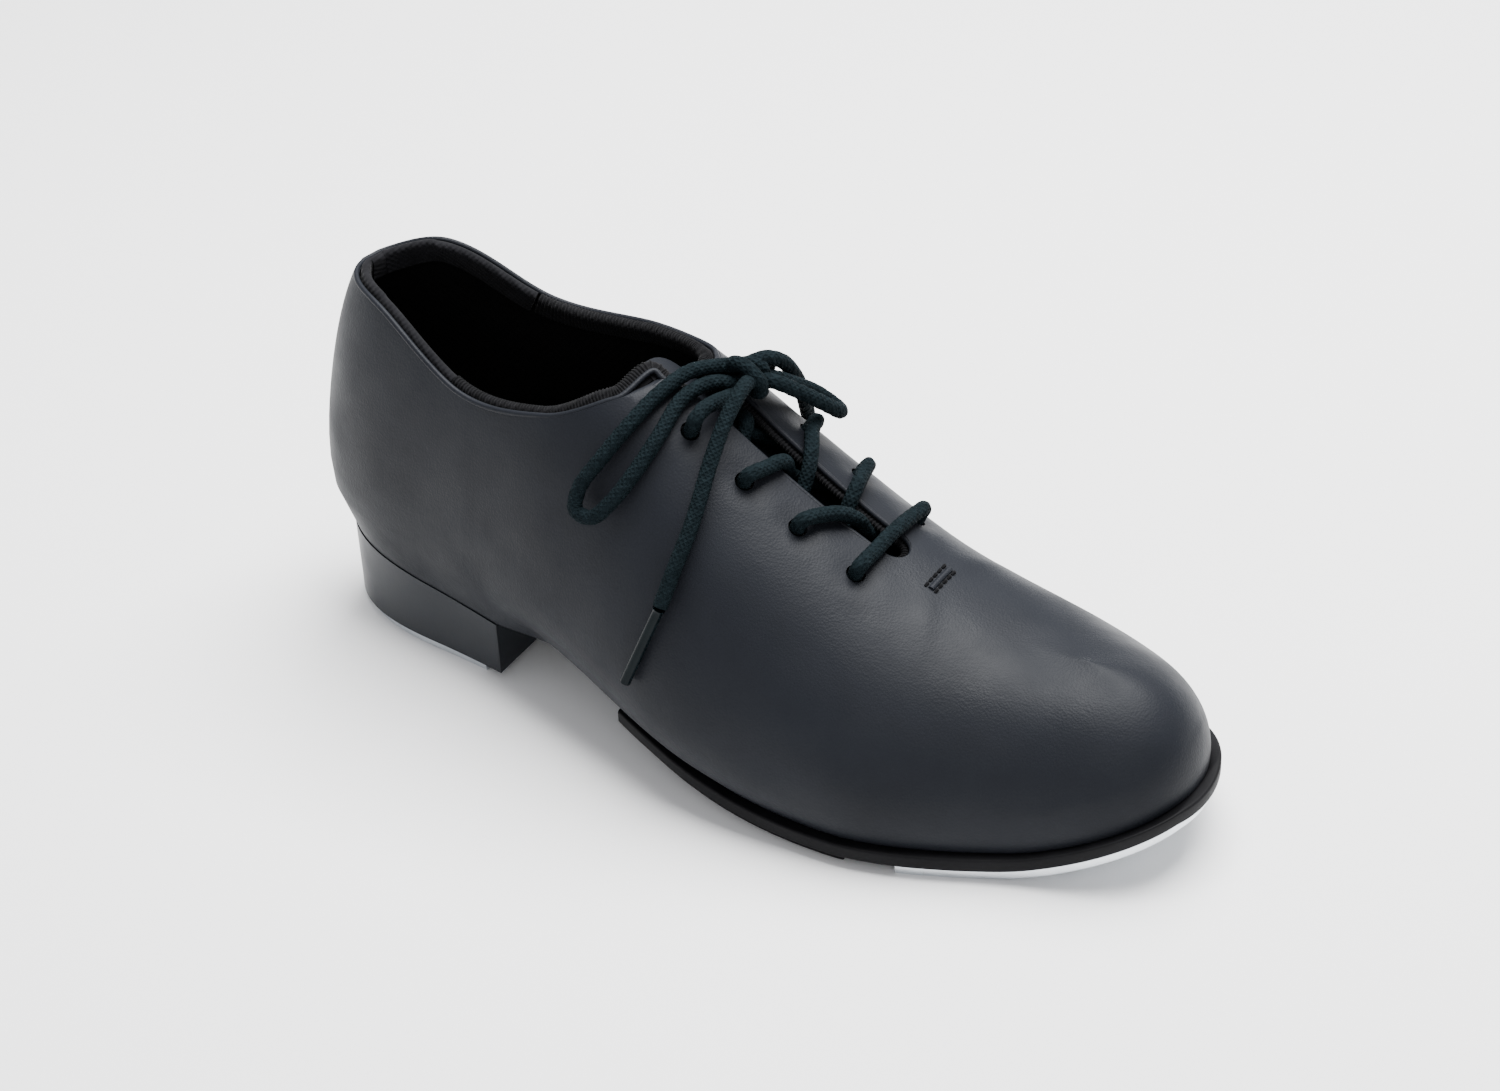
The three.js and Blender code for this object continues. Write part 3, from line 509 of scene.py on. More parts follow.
def braid(name, dark, light):
    """Round braid: two crossing sets of yarns, read from the lace's own UV map in metres along."""
    material, tree, shader = new_finish(name, light, 0.85, sheen=0.0, gloss=0.04)
    place = tree.nodes.new("ShaderNodeTexCoord")
    split = tree.nodes.new("ShaderNodeSeparateXYZ")
    tree.links.new(place.outputs["UV"], split.inputs["Vector"])
    round_it = math_node(tree, "MULTIPLY", split.outputs["X"], 2 * math.pi * 8)
    along = math_node(tree, "MULTIPLY", split.outputs["Y"], 2 * math.pi / 0.0016)
    left = math_node(tree, "SINE", math_node(tree, "ADD", round_it, along))
    right = math_node(tree, "SINE", math_node(tree, "SUBTRACT", round_it, along))
    yarns = math_node(tree, "MAXIMUM", left, right)
    tree.links.new(tones(tree, noise(tree, place, 700, 5), dark, light), shader.inputs["Base Color"])
    weave = relief(tree, shader, yarns, 0.00025, 0.6)
    relief(tree, shader, noise(tree, place, 3200, 4), 0.00015, 0.35, weave)
    return material


# %% [markdown]
# The sole, pad, heel and aglets are smooth and dark, and differ mostly in roughness. The taps are
# satin aluminium, with scratches that run along the shoe as the wearer's steps would make them.

# %% Rubber, plastic and metal
def rubber(name, dark, light, roughness, gloss=0.2):
    material, tree, shader = new_finish(name, light, roughness, gloss=gloss)
    place = tree.nodes.new("ShaderNodeTexCoord")
    tree.links.new(tones(tree, noise(tree, place, 90, 5), dark, light), shader.inputs["Base Color"])
    tree.links.new(mapped(tree, noise(tree, place, 45, 4), roughness - 0.1, roughness + 0.08),
                   shader.inputs["Roughness"])
    relief(tree, shader, noise(tree, place, 1500, 3), 0.0001, 0.3)
    return material


def metal(name, dark, light, roughness):
    """Satin metal with fine scratches that all run one way."""
    material, tree, shader = new_finish(name, light, roughness, metallic=1.0)
    place = tree.nodes.new("ShaderNodeTexCoord")
    stretch = tree.nodes.new("ShaderNodeMapping")
    stretch.inputs["Scale"].default_value = (60, 2200, 2200)
    tree.links.new(place.outputs["Object"], stretch.inputs["Vector"])
    scratches = tree.nodes.new("ShaderNodeTexNoise")
    scratches.inputs["Scale"].default_value = 1.0
    scratches.inputs["Detail"].default_value = 3
    tree.links.new(stretch.outputs["Vector"], scratches.inputs["Vector"])
    tree.links.new(tones(tree, noise(tree, place, 70, 4), dark, light), shader.inputs["Base Color"])
    tree.links.new(mapped(tree, scratches.outputs["Fac"], roughness - 0.08, roughness + 0.12),
                   shader.inputs["Roughness"])
    relief(tree, shader, scratches.outputs["Fac"], 0.00004, 0.4)
    return material


# %% [markdown]
# Each slot of the model gets its own finish, and the CAD nodes take theirs here too, so that the
# hidden pieces inside are dressed as well.

# %% One finish for each slot
SLATE_DARK, SLATE_LIGHT = (0.0072, 0.0082, 0.0108), (0.0112, 0.0126, 0.0162)
finishes = {
    "upper_leather": leather("upper_leather", SLATE_DARK, SLATE_LIGHT, 0.47),
    "black_tape": cloth("black_tape", (0.002, 0.002, 0.0025), (0.006, 0.006, 0.007), 3000, 0.03),
    "smooth_tape": cloth("smooth_tape", (0.004, 0.004, 0.005), (0.008, 0.008, 0.0095), 3600, 0.03),
    "black_cloth": cloth("black_cloth", (0.0012, 0.0012, 0.0013), (0.0026, 0.0026, 0.0028), 2400, 0.0),
    "lace_cord": braid("lace_cord", (0.0026, 0.005, 0.0062), (0.0062, 0.0108, 0.013)),
    "thread": cloth("thread", (0.002, 0.002, 0.0025), (0.005, 0.005, 0.006), 5000, 0.02),
    "stiffener": cloth("stiffener", (0.2, 0.15, 0.09), (0.3, 0.23, 0.14), 900, 0.0),
    "board": cloth("board", (0.22, 0.17, 0.1), (0.34, 0.27, 0.17), 700, 0.0),
    "steel": metal("steel", (0.4, 0.41, 0.42), (0.52, 0.53, 0.54), 0.34),
    "tap_metal": metal("tap_metal", (0.6, 0.63, 0.66), (0.72, 0.75, 0.78), 0.34),
    "sole_black": rubber("sole_black", (0.0025, 0.0025, 0.003), (0.005, 0.005, 0.006), 0.6, 0.1),
    "pad_rubber": rubber("pad_rubber", (0.002, 0.002, 0.0025), (0.0045, 0.0045, 0.005), 0.85, 0.1),
    "heel_plastic": rubber("heel_plastic", (0.0095, 0.0112, 0.0145), (0.013, 0.0152, 0.019), 0.42, 0.18),
    "aglet_film": rubber("aglet_film", (0.002, 0.004, 0.005), (0.004, 0.007, 0.0085), 0.24, 0.06),
}
for node_name, node in frame["nodes"].items():
    slot_name = next(s["material_slot"] for s in frame["record"]["subparts"] if s["node"] == node_name)
    node.data.materials.clear()
    node.data.materials.append(finishes[slot_name])
print("finishes", len(finishes))


def dress(piece, slot_name, body="shoe", stands_for=()):
    """Gives a piece its finish and the body that it rides on, and hides the CAD nodes that it stands for."""
    piece.data.materials.clear()
    piece.data.materials.append(finishes[slot_name])
    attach(piece, body)
    if stands_for:
        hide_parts(*stands_for)
    return piece


# %% [markdown]
# ## The lace
# One round braided lace, in three stretches: the zigzag through the eyelets, and a bow to each
# side of the knot. The zigzag follows the upper's own surface, so each of its points is a place in plan
# and a height over the leather. The bows lie free, so theirs are places in space.

# %% Where the lace runs
LACE_RADIUS = 2.1
UNDER = -6.3
DOWN, UP = (3.4, -2, -6.1), (-6.1, -2, 3.4)


def through(number, side, heights):
    """The lace passing through one eyelet."""
    return [(EYELET_X[number], THROAT_Y + side * EYELET_HALF_SPACING, over) for over in heights]


HELD_ROUTE = [
    *through(0, -1, DOWN),
    (127, -6, UNDER), (131.4, 3, UNDER), (136, 12, UNDER),
    *through(1, 1, UP),
    (141.5, 14.5, 2.9), (144.8, 9, 2.7), (148, 4.5, 0.2), (150.7, 0, -4.8), (152.6, -5, UNDER),
    *through(2, -1, UP),
    (157.3, -8.5, 2.9), (160.8, -3, 2.7), (164.4, 1.5, 0.2), (167.1, 6, -4.8), (168.9, 11, UNDER),
    *through(3, 1, UP),
    (172.5, 13, 3), (172.6, 3, 2.9), (172.5, -7, 3),
    *through(3, -1, DOWN),
    (167.6, -6, UNDER), (164.4, -1.5, UNDER), (161.7, 2.5, -4.8), (159.6, 6.3, 0.6), (158.4, 9.5, 2.7),
    (157, 14, 2.9),
    *through(2, 1, DOWN),
    (151.2, 12, UNDER), (148.4, 7.5, UNDER), (145.7, 3.5, -4.8), (143.6, -0.3, 0.6), (142.6, -3.5, 2.7),
    (141.4, -8, 2.9),
    *through(1, -1, DOWN),
    (136.2, -6, UNDER), (133.8, -1.5, -4.4), (131.2, 3, -1.4), (128.6, 7.5, -4.4), (126.4, 12, UNDER),
    *through(0, 1, UP),
]
OUTER_RISER = [(126.4, -15.8, 99.4), (127, -12.6, 101), (127.3, -7, 100.2), (127.5, -1, 98.4)]
INNER_RISER = [(126, 22.4, 95.2), (126.6, 20.8, 97.6), (127, 17, 98.2), (127.4, 13, 97.4)]
OUTER_KNOT = [(128, 5, 97.2), (129.4, 10, 97.8), (130.6, 12, 100.2), (128.6, 10.4, 102.8), (126, 7.4, 103.2)]
INNER_KNOT = [(129, 9.4, 95.8), (132.6, 7, 97), (133.6, 5.6, 100.6), (131, 5, 104.2), (127, 5.4, 105.2),
              (123.4, 6.4, 102.4), (123.4, 8.2, 98.8), (127, 10.4, 97.8)]
OUTER_LOOP = [
    (122.5, 4.5, 103.6), (117.5, -3.5, 104.8), (114.4, -14, 103), (111.4, -23, 98.6), (106.8, -30.8, 91),
    (102.2, -35.8, 83), (102.4, -38.6, 77.6), (107, -38.6, 76.6), (111.6, -36, 81), (116, -30, 88.4),
    (118.8, -21.5, 95.8), (119.4, -10, 101), (122.4, -1, 101.4),
]
INNER_LOOP = [
    (135, 10.5, 98.8), (140, 15.5, 94), (144, 21, 88.4), (145.4, 26.4, 83.4), (142.2, 29.6, 82.4),
    (138, 26.6, 87.2), (134.6, 20, 93), (132, 14.6, 97),
]
OUTER_THROUGH = [(126.4, 4, 99.6), (130, 7, 99.6)]
INNER_THROUGH = [(128.4, 9.4, 99.4), (126.8, 8.6, 101.8)]
OUTER_END = [
    (132, 1, 102.6), (133, -5.4, 102.2), (133, -12, 98.2), (133.4, -20.8, 90.6), (134, -26.8, 84.8),
    (134.2, -33, 78.2), (133, -39.4, 69.8), (131.2, -45, 60),
]
INNER_END = [
    (129.6, 13.8, 102.8), (131.6, 19.8, 99.2), (132, 25.4, 92), (130.6, 31.4, 82.8), (128.4, 37, 73.6),
    (126.6, 42, 63.4), (125.2, 46, 53.6),
]
held_places = np.array(HELD_ROUTE, float)
on_upper, out_of_upper = top_points(held_places[:, 0], held_places[:, 1])
held_points = on_upper + out_of_upper * held_places[:, 2:]
print("held route", len(held_points), "points")

# %% [markdown]
# The lace is a tube with a braid's relief, fuller where one yarn crosses another. Each stretch's
# length is printed as it is made.

# %% Braided lace
YARNS_ROUND, YARN_PITCH = 4, 0.0034


def braid_radius(along, angles):
    """A braid is fuller where a yarn lies on top."""
    turn = 2 * np.pi * along / YARN_PITCH
    left = np.cos(YARNS_ROUND * angles + turn)
    right = np.cos(YARNS_ROUND * angles - turn)
    return LACE_RADIUS * MM * (0.965 + 0.045 * np.maximum(left, right))


def lace(name, points, stands_for):
    route = spline(to_frame(points), 0.5 * MM)
    piece = tidy(tube(name, route, braid_radius), angle=70, merge=1e-7)
    dress(piece, "lace_cord", stands_for=stands_for)
    print(name, round(route_length(route) * 1000), "mm")
    return piece


# %% [markdown]
# Each end of the lace is bound in a tube of film, so that it can be threaded. It is a tube with a
# flared mouth, a seam where the film overlaps, and a crimped tip.

# %% Aglets
AGLET_LENGTH, AGLET_RADIUS = 25, 1.5
OUTER_AGLET = ((131, -45.3, 59.4), (122.4, -51.9, 35.8))
INNER_AGLET = ((125.1, 46.2, 53), (122.6, 51.8, 28.8))


def aglet(name, top, tip, node_name):
    """A film tube rolled round the lace's end: flared mouth, overlapped seam, crimped tip."""
    top, tip = to_frame(top), to_frame(tip)
    direction = (tip - top) / np.linalg.norm(tip - top)
    mouth, body = np.linspace(0, 1.2, 5), np.linspace(2, AGLET_LENGTH - 1, 24)
    stations = np.r_[mouth, body, AGLET_LENGTH - 0.3, AGLET_LENGTH]
    points = top + direction * stations[:, None] * MM

    def radius(along, angles):
        share = along / (AGLET_LENGTH * MM)
        flare = 0.22 * math.exp(-along / (0.5 * MM))
        crimp = 0.06 * (math.sin(share * 60) if share > 0.7 else 0)
        close = 0.55 if share > 0.995 else 1.0
        seam = 0.07 * np.clip(1 - np.abs(angles - 1.0) / 0.25, 0, 1)
        return (AGLET_RADIUS * (close + crimp * 0.3) + flare + seam) * MM

    return dress(tidy(tube(name, points, radius, 28), 50), "aglet_film", stands_for=[node_name])


outer_aglet = aglet("outer_aglet", *OUTER_AGLET, "aglet_outer")
inner_aglet = aglet("inner_aglet", *INNER_AGLET, "aglet_inner")

# %% [markdown]
# Now the three stretches are laid: the zigzag, and a bow to each side with its turns of the knot and
# its free end.

# %% Lace pieces
lace("held_lace", held_points, ["lace_held"])
lace("outer_bow", [held_points[0], *OUTER_RISER, *OUTER_KNOT, *OUTER_LOOP, *OUTER_THROUGH, *OUTER_END],
     ["lace_riser_outer", "lace_loop_outer", "lace_end_outer", "lace_knot"])
lace("inner_bow", [held_points[-1], *INNER_RISER, *INNER_KNOT, *INNER_LOOP, *INNER_THROUGH, *INNER_END],
     ["lace_riser_inner", "lace_loop_inner", "lace_end_inner"])

# %% [markdown]
# ## The upper
# The upper is one sheet of leather pulled over the last. It is made as the last's skin with the
# inside taken out, and then the ankle opening, throat and eyelets are cut, as a knife would do it.
# Cutting a solid keeps the wall's true thickness all the way round.

# %% Closed forms of the last
STATIONS, RISES, FLOORS = 150, 34, 10


def form(name, inset):
    """The whole last as a closed solid, drawn in by inset."""
    x = LENGTH / 2 * (1 - np.cos(np.linspace(0, np.pi, STATIONS + 1)))
    rows = []
    for station in x:
        power = float(squareness(station))
        rises = np.sin(np.pi / 2 * np.linspace(0, 1, RISES + 1)) ** (2 / power)
        outer = last_point(station, -1, rises, inset)
        inner = last_point(station, 1, rises, inset)
        floor = [inner[0] + (outer[0] - inner[0]) * j / FLOORS for j in range(1, FLOORS)]
        rows.append([*outer, *inner[:-1][::-1], *floor])
    verts, faces = skin(rows, caps=False)
    return tidy(new_object(name, to_frame(verts), faces), 60)


def puckers(point):
    """How far leather sinks or swells, in millimetres: pulled in at each eyelet, creased by the throat."""
    x, y = point[:, 0], point[:, 1]
    lift = np.zeros(len(x))
    for eyelet in EYELET_X:
        for side in (-1, 1):
            away = np.hypot(x - eyelet, y - THROAT_Y - side * EYELET_HALF_SPACING)
            lift += -0.45 * np.exp(-(away / 3.6) ** 2) + 0.16 * np.exp(-((away - 7) / 2.6) ** 2)
    crease = 0.45 * np.exp(-((x - 186 - 0.35 * np.abs(y - THROAT_Y)) / 3.2) ** 2)
    lift += crease * np.exp(-((np.abs(y - THROAT_Y) - 15) / 9) ** 2)
    lift += 0.25 * np.sin(x * 0.11 + 0.6 * np.sin(y * 0.13)) * np.sin(y * 0.09 + 1) * (x > 60)
    return lift


def pucker(piece):
    bm = bmesh.new()
    bm.from_mesh(piece.data)
    places = np.array([v.co for v in bm.verts]) / MM + (HEEL_CENTRE, 0, 0)
    upper_part = places[:, 2] > feather(places[:, 0]) + 14
    for vert, lift, moves in zip(bm.verts, puckers(places), upper_part):
        if moves:
            vert.co += vert.normal * float(lift) * MM
    bm.to_mesh(piece.data)
    bm.free()
    return piece


# %% [markdown]
# The cuts are solids too: a tall block over each collar line, one for the throat's slot, and a punch
# for each eyelet that stands square to the leather there.

# %% Knives for the opening and the eyelets
FAR = 300


def prism(name, outline, axis, low, high):
    """A solid with its outline in XZ (axis Y) or XY (axis Z), from low to high along the axis."""
    place = (lambda a, b, c: (a, c, b)) if axis == "Y" else (lambda a, b, c: (a, b, c))
    verts, faces = skin([[place(a, b, level) for a, b in outline] for level in (low, high)])
    return tidy(new_object(name, to_frame(verts), faces), 60)


def throat_outline(grow):
    turn = THROAT_END - THROAT_ROUND
    xs = np.arange(at(0.4), turn, 2.5)
    near = [(x, THROAT_Y - float(throat_half(x)) - grow) for x in xs]
    arc = [(turn + (THROAT_ROUND + grow) * math.cos(a), THROAT_Y + (THROAT_ROUND + grow) * math.sin(a))
           for a in np.linspace(-math.pi / 2, math.pi / 2, 17)]
    far = [(x, 2 * THROAT_Y - y) for x, y in reversed(near)]
    return [*near, *arc, *far]


def opening_knives(grow):
    """The space over the collar on each side, and the throat's slot."""
    knives = []
    xs = np.arange(-20, at(0.51) + 1.5, 1.5)
    for label, collar, low, high in (("outer", collar_outer, -FAR, 0.02), ("inner", collar_inner, 0, FAR)):
        line = [(x, float(collar(x)) - grow) for x in xs]
        knives.append(prism(f"knife_{label}", [*line, (xs[-1], FAR), (-20, FAR)], "Y", low, high))
    knives.append(prism("knife_throat", throat_outline(grow), "Z", 35, FAR))
    return knives


def punches():
    ends, ways = top_points(np.repeat(EYELET_X, 2), THROAT_Y + EYELET_HALF_SPACING * np.tile([-1, 1], 4))
    made = []
    for i, (end, way) in enumerate(zip(ends, ways)):
        points = to_frame([end - way * 9, end + way * 4])
        made.append(tidy(tube(f"punch_{i}", points, even_radius(EYELET_RADIUS), 32), 60))
    return made


# %% [markdown]
# The skin's inside, the space under the foot and the knives are all taken away in one go. Soles are
# made by the same kind of sheet, so the function for that comes here.

# %% Cut the upper
LIP = UPPER_WALL / 2
PAST_CUT = 9


def sole_profile(inset, low, high, radius, steps=4):
    """The edge of a sheet under the foot: (inset, height) pairs from bottom to top, with round corners."""
    arc = np.linspace(0, math.pi / 2, steps + 1)
    bottom = [(inset + radius * (1 - math.sin(a)), low + radius * (1 - math.cos(a))) for a in arc]
    top = [(inset + radius * (1 - math.cos(a)), high - radius * (1 - math.sin(a))) for a in arc]
    return [*bottom, *top]


def sheet_under_foot(name, profile, start, end, low_of=feather, high_of=feather, across=12):
    """A sheet that follows the feather edge's outline. Its edge is the profile, and an end inside the
    shoe is cut square."""
    first, last = max(start - PAST_CUT, 0), min(end + PAST_CUT, LENGTH)
    x = first + (last - first) / 2 * (1 - np.cos(np.linspace(0, np.pi, 110)))
    insets, heights = np.array(profile).T
    middle = len(profile) // 2
    rows = []
    for station in x:
        sides = []
        for side in (-1, 1):
            edge = last_point(station, side, 0.0, insets)
            base = np.where(np.arange(len(insets)) < middle, low_of(edge[:, 0]), high_of(edge[:, 0]))
            edge[:, 2] = base + heights
            sides.append(edge)
        top = [sides[0][-1] + (sides[1][-1] - sides[0][-1]) * j / across for j in range(1, across)]
        bottom = [sides[1][0] + (sides[0][0] - sides[1][0]) * j / across for j in range(1, across)]
        rows.append([*sides[0], *top, *sides[1][::-1], *bottom])
    verts, faces = skin(rows)
    piece = tidy(new_object(name, to_frame(verts), faces), 40)
    bm = bmesh.new()
    bm.from_mesh(piece.data)
    for place, way in ((start, -1), (end, 1)):
        if place in (0, LENGTH):
            continue
        geometry = [*bm.verts, *bm.edges, *bm.faces]
        made = bmesh.ops.bisect_plane(bm, geom=geometry, plane_co=((place - HEEL_CENTRE) * MM, 0, 0),
                                      plane_no=(way, 0, 0), clear_outer=True, dist=1e-7)
        rim = [e for e in made["geom_cut"] if isinstance(e, bmesh.types.BMEdge)]
        bmesh.ops.holes_fill(bm, edges=rim, sides=0)
    bm.to_mesh(piece.data)
    bm.free()
    return tidy(piece, 40)


MARGIN = 15
upper = pucker(form("upper_skin", 0))
inside = pucker(form("inside", UPPER_WALL))
margin = sheet_under_foot("margin", [(MARGIN, -20), (MARGIN, UPPER_WALL + 5)], 0, LENGTH)
knives = [*opening_knives(LIP), *punches()]
cut(upper, inside, margin, *knives)
discard(inside, margin, *knives)
print("upper faces", len(upper.data.polygons))


# %% [markdown]
# The cut edge of the real leather is turned over, so it is round, not sharp. A bevel would
# have to work on the cut's uneven triangles. A bead as thick as the wall, laid along the cut, gives the same
# round edge cleanly, and the same path guides the tape inside it.

# %% Follow the opening's edge
PATH_STEP = 0.5
OPENING_MIDDLE = 60


def edge_path(grow, inset):
    """The opening's edge on the last, heel back to heel back, as points and outward normals."""
    def side_line(side, collar):
        points = []
        for station in np.r_[np.linspace(0, 20, 60), np.linspace(20.5, at(0.62), 240)]:
            low, high = 0.2, 1.0
            for _ in range(30):
                rise = (low + high) / 2
                point = last_point(station, side, rise, inset)
                if point[2] < float(collar(point[0])) - grow:
                    low = rise
                else:
                    high = rise
            if point[0] > at(0.3) and abs(point[1] - THROAT_Y) < float(throat_half(point[0])) + grow:
                break
            points.append(point)
        return points

    outer, inner = side_line(-1, collar_outer), side_line(1, collar_inner)
    slot = throat_outline(grow)
    turn = [p for p in slot if p[1] < THROAT_Y and p[0] > outer[-1][0] + 1]
    rest = [p for p in slot if p[1] >= THROAT_Y and p[0] > inner[-1][0] + 1]
    plan = np.array([*turn, *rest])
    throat, _ = top_points(plan[:, 0], plan[:, 1], inset)
    points = spline(np.vstack([outer[::3], throat, inner[::-3]])[:-1], PATH_STEP)
    over, normals = top_points(points[:, 0], points[:, 1], inset)
    flat = np.linalg.norm(over - points, axis=1) < 3
    px, py, _ = points.T
    away = (px - OPENING_MIDDLE) / np.hypot(px - OPENING_MIDDLE, py)
    walls = np.stack([away * (px < 40), np.sign(py), np.full_like(px, 0.2)], axis=1)
    chosen = np.where(flat[:, None], normals, walls / np.linalg.norm(walls, axis=1, keepdims=True))
    for _ in range(12):
        chosen = (np.roll(chosen, 1, 0) + chosen * 2 + np.roll(chosen, -1, 0)) / 4
    return points, chosen / np.linalg.norm(chosen, axis=1, keepdims=True)


lip_points, lip_out = edge_path(LIP, LIP)
print("edge", round(route_length(lip_points)), "mm long")


def ribbon(name, points, outward, section, closed=False):
    """A strip swept along a path. A section point is its depth below the edge and its depth in, in mm."""
    deeper = into_leather(points, outward)
    rows = [[p + d * a - o * b for a, b in section] for p, d, o in zip(points, deeper, outward)]
    verts, faces = skin(rows, closed_loop=closed)
    return tidy(new_object(name, to_frame(verts), faces), 50)


def into_leather(points, outward):
    """The way from the cut edge into the leather, square to the edge and lying in the surface."""
    deeper = np.cross(np.gradient(points, axis=0), outward)
    deeper /= np.linalg.norm(deeper, axis=1, keepdims=True)
    return deeper * np.sign((deeper * down_hint(points)).sum(axis=1, keepdims=True))


def down_hint(points):
    """Roughly the way into the leather: down at the ankle, away from the slot at the throat."""
    slot = np.clip((points[:, 0] - 112) / 12, 0, 1)[:, None]
    at_end = np.clip((points[:, 0] - THROAT_END + THROAT_ROUND) / THROAT_ROUND, 0, 1)
    sideways = np.sign(points[:, 1] - THROAT_Y) * (1 - 0.5 * at_end)
    apart = np.stack([at_end, sideways, np.full_like(at_end, -0.3)], axis=1)
    return np.array([0, 0, -1.0]) * (1 - slot) + apart * slot


# %% [markdown]
# The bead is a plain round section swept along the whole edge, then joined to the leather.

# %% Roll the edge over
LIP_SIDES = 14
lip_angles = np.linspace(0, 2 * np.pi, LIP_SIDES, endpoint=False)
lip_section = [(LIP * math.cos(a), LIP * math.sin(a)) for a in lip_angles]
lip = ribbon("lip", lip_points, lip_out, lip_section, closed=True)
upper = tidy(joined("leather_upper", upper, lip), 50)
dress(upper, "upper_leather", stands_for=["upper"])
print("upper", len(upper.data.polygons), "faces")

# %% [markdown]
# ## Edge tapes
# Inside the edge runs a tape. Round the heel it is smooth and wide, and from there to the throat
# it is a ribbed one. The tape's body is swept along the edge, and its ribs are a repeat, which is what
# Geometry Nodes are for: one rib is set on every point of the path.

# %% A tree that sets one piece on every point
def repeat_tree(name):
    """Sets a piece on every vertex, with its X axis along the path and its Z axis out of the surface."""
    tree = bpy.data.node_groups.new(name, "GeometryNodeTree")
    tree.is_modifier = True
    sockets = (("Geometry", "NodeSocketGeometry", "INPUT"), ("Piece", "NodeSocketObject", "INPUT"),
               ("Size", "NodeSocketFloat", "INPUT"), ("Finish", "NodeSocketMaterial", "INPUT"),
               ("Geometry", "NodeSocketGeometry", "OUTPUT"))
    for label, kind, way in sockets:
        tree.interface.new_socket(label, socket_type=kind, in_out=way)
    group_in, group_out = tree.nodes.new("NodeGroupInput"), tree.nodes.new("NodeGroupOutput")
    piece = tree.nodes.new("GeometryNodeObjectInfo")
    tree.links.new(group_in.outputs["Piece"], piece.inputs["Object"])
    turned = None
    for label, axis, pivot in (("out", "Z", "AUTO"), ("along", "X", "Z")):
        attribute = tree.nodes.new("GeometryNodeInputNamedAttribute")
        attribute.data_type = "FLOAT_VECTOR"
        attribute.inputs["Name"].default_value = label
        align = tree.nodes.new("FunctionNodeAlignRotationToVector")
        align.axis, align.pivot_axis = axis, pivot
        tree.links.new(attribute.outputs["Attribute"], align.inputs["Vector"])
        if turned:
            tree.links.new(turned, align.inputs["Rotation"])
        turned = align.outputs["Rotation"]
    place = tree.nodes.new("GeometryNodeInstanceOnPoints")
    realize = tree.nodes.new("GeometryNodeRealizeInstances")
    finish = tree.nodes.new("GeometryNodeSetMaterial")
    tree.links.new(group_in.outputs["Geometry"], place.inputs["Points"])
    tree.links.new(piece.outputs["Geometry"], place.inputs["Instance"])
    tree.links.new(turned, place.inputs["Rotation"])
    tree.links.new(group_in.outputs["Size"], place.inputs["Scale"])
    tree.links.new(place.outputs["Instances"], realize.inputs["Geometry"])
    tree.links.new(realize.outputs["Geometry"], finish.inputs["Geometry"])
    tree.links.new(group_in.outputs["Finish"], finish.inputs["Material"])
    tree.links.new(finish.outputs["Geometry"], group_out.inputs["Geometry"])
    return tree


repeat = repeat_tree("one_on_every_point")


def repeated(name, piece, points, along, out, slot_name):
    """The piece set on every point of a path, as one plain mesh. The pattern piece is thrown away."""
    carrier = new_object(name, to_frame(points), [])
    for label, values in (("along", along), ("out", out)):
        attribute = carrier.data.attributes.new(label, "FLOAT_VECTOR", "POINT")
        attribute.data.foreach_set("vector", np.asarray(values, np.float32).ravel())
    modifier = carrier.modifiers.new("repeat", "NODES")
    modifier.node_group = repeat
    values = {"Piece": piece, "Size": 1.0, "Finish": finishes[slot_name]}
    for item in repeat.interface.items_tree:
        if item.in_out == "INPUT" and item.name in values:
            modifier[item.identifier] = values[item.name]
    apply_modifiers(carrier)
    discard(piece)
    return tidy(carrier, 50, merge=1e-8)


# %% [markdown]
# The smooth tape comes first. Its section has a rounded top. Towards the throat the path is lifted a
# little, so that the thick tape stands clear of the edge there.

# %% Tapes
BINDING_JOIN, BINDING_DEEP, BINDING_IN, BINDING_WALL = 53, 4.5, 1.75, 1.3
ROLL_WALL, ROLL_PROUD, EDGE_PROUD, ROLL_END = 2.9, 1.3, 0.9, at(0.445)
THROAT_LIFT = 1.9


def tape_section(deep, wall, proud):
    """A tape's section: a rounded top that stands proud of the edge, and two flat faces."""
    half = wall / 2
    arc = [(-proud + half - half * math.sin(a), BINDING_IN + half - half * math.cos(a))
           for a in np.linspace(0, math.pi, 11)]
    return [(deep, BINDING_IN), *[(t, BINDING_IN) for t in (deep * 0.7, deep * 0.45)], *arc,
            *[(t, BINDING_IN + wall) for t in (deep * 0.45, deep * 0.7)], (deep, BINDING_IN + wall)]


edge_points, edge_out = edge_path(0, 0)
edge_x = edge_points[:, 0]
nearing_throat = np.clip((edge_x - 84) / 16, 0, 1) * np.clip((ROLL_END + 3 - edge_x) / 6, 0, 1)
edge_points = edge_points - into_leather(edge_points, edge_out) * (THROAT_LIFT * nearing_throat)[:, None]
count = np.arange(len(edge_points))
half_way = len(edge_points) // 2
heel_part = edge_points[:, 0] < BINDING_JOIN - GAP / 2
side_part = (edge_points[:, 0] > BINDING_JOIN + GAP / 2) & (edge_points[:, 0] < ROLL_END)
throat_part = np.where(edge_points[:, 0] > ROLL_END - 0.6)[0]
heel_order = np.r_[np.where(heel_part & (count > half_way))[0], np.where(heel_part & (count <= half_way))[0]]
outer_side = np.where(side_part & (count < half_way))[0]
inner_side = np.where(side_part & (count > half_way))[0]

collar = ribbon("collar_edge_tape", edge_points[heel_order], edge_out[heel_order],
                tape_section(BINDING_DEEP + 1.2, ROLL_WALL - 0.2, ROLL_PROUD - 0.2))
dress(collar, "smooth_tape", stands_for=["collar_tape"])
print("smooth tape", round(len(heel_order) * PATH_STEP), "mm long")

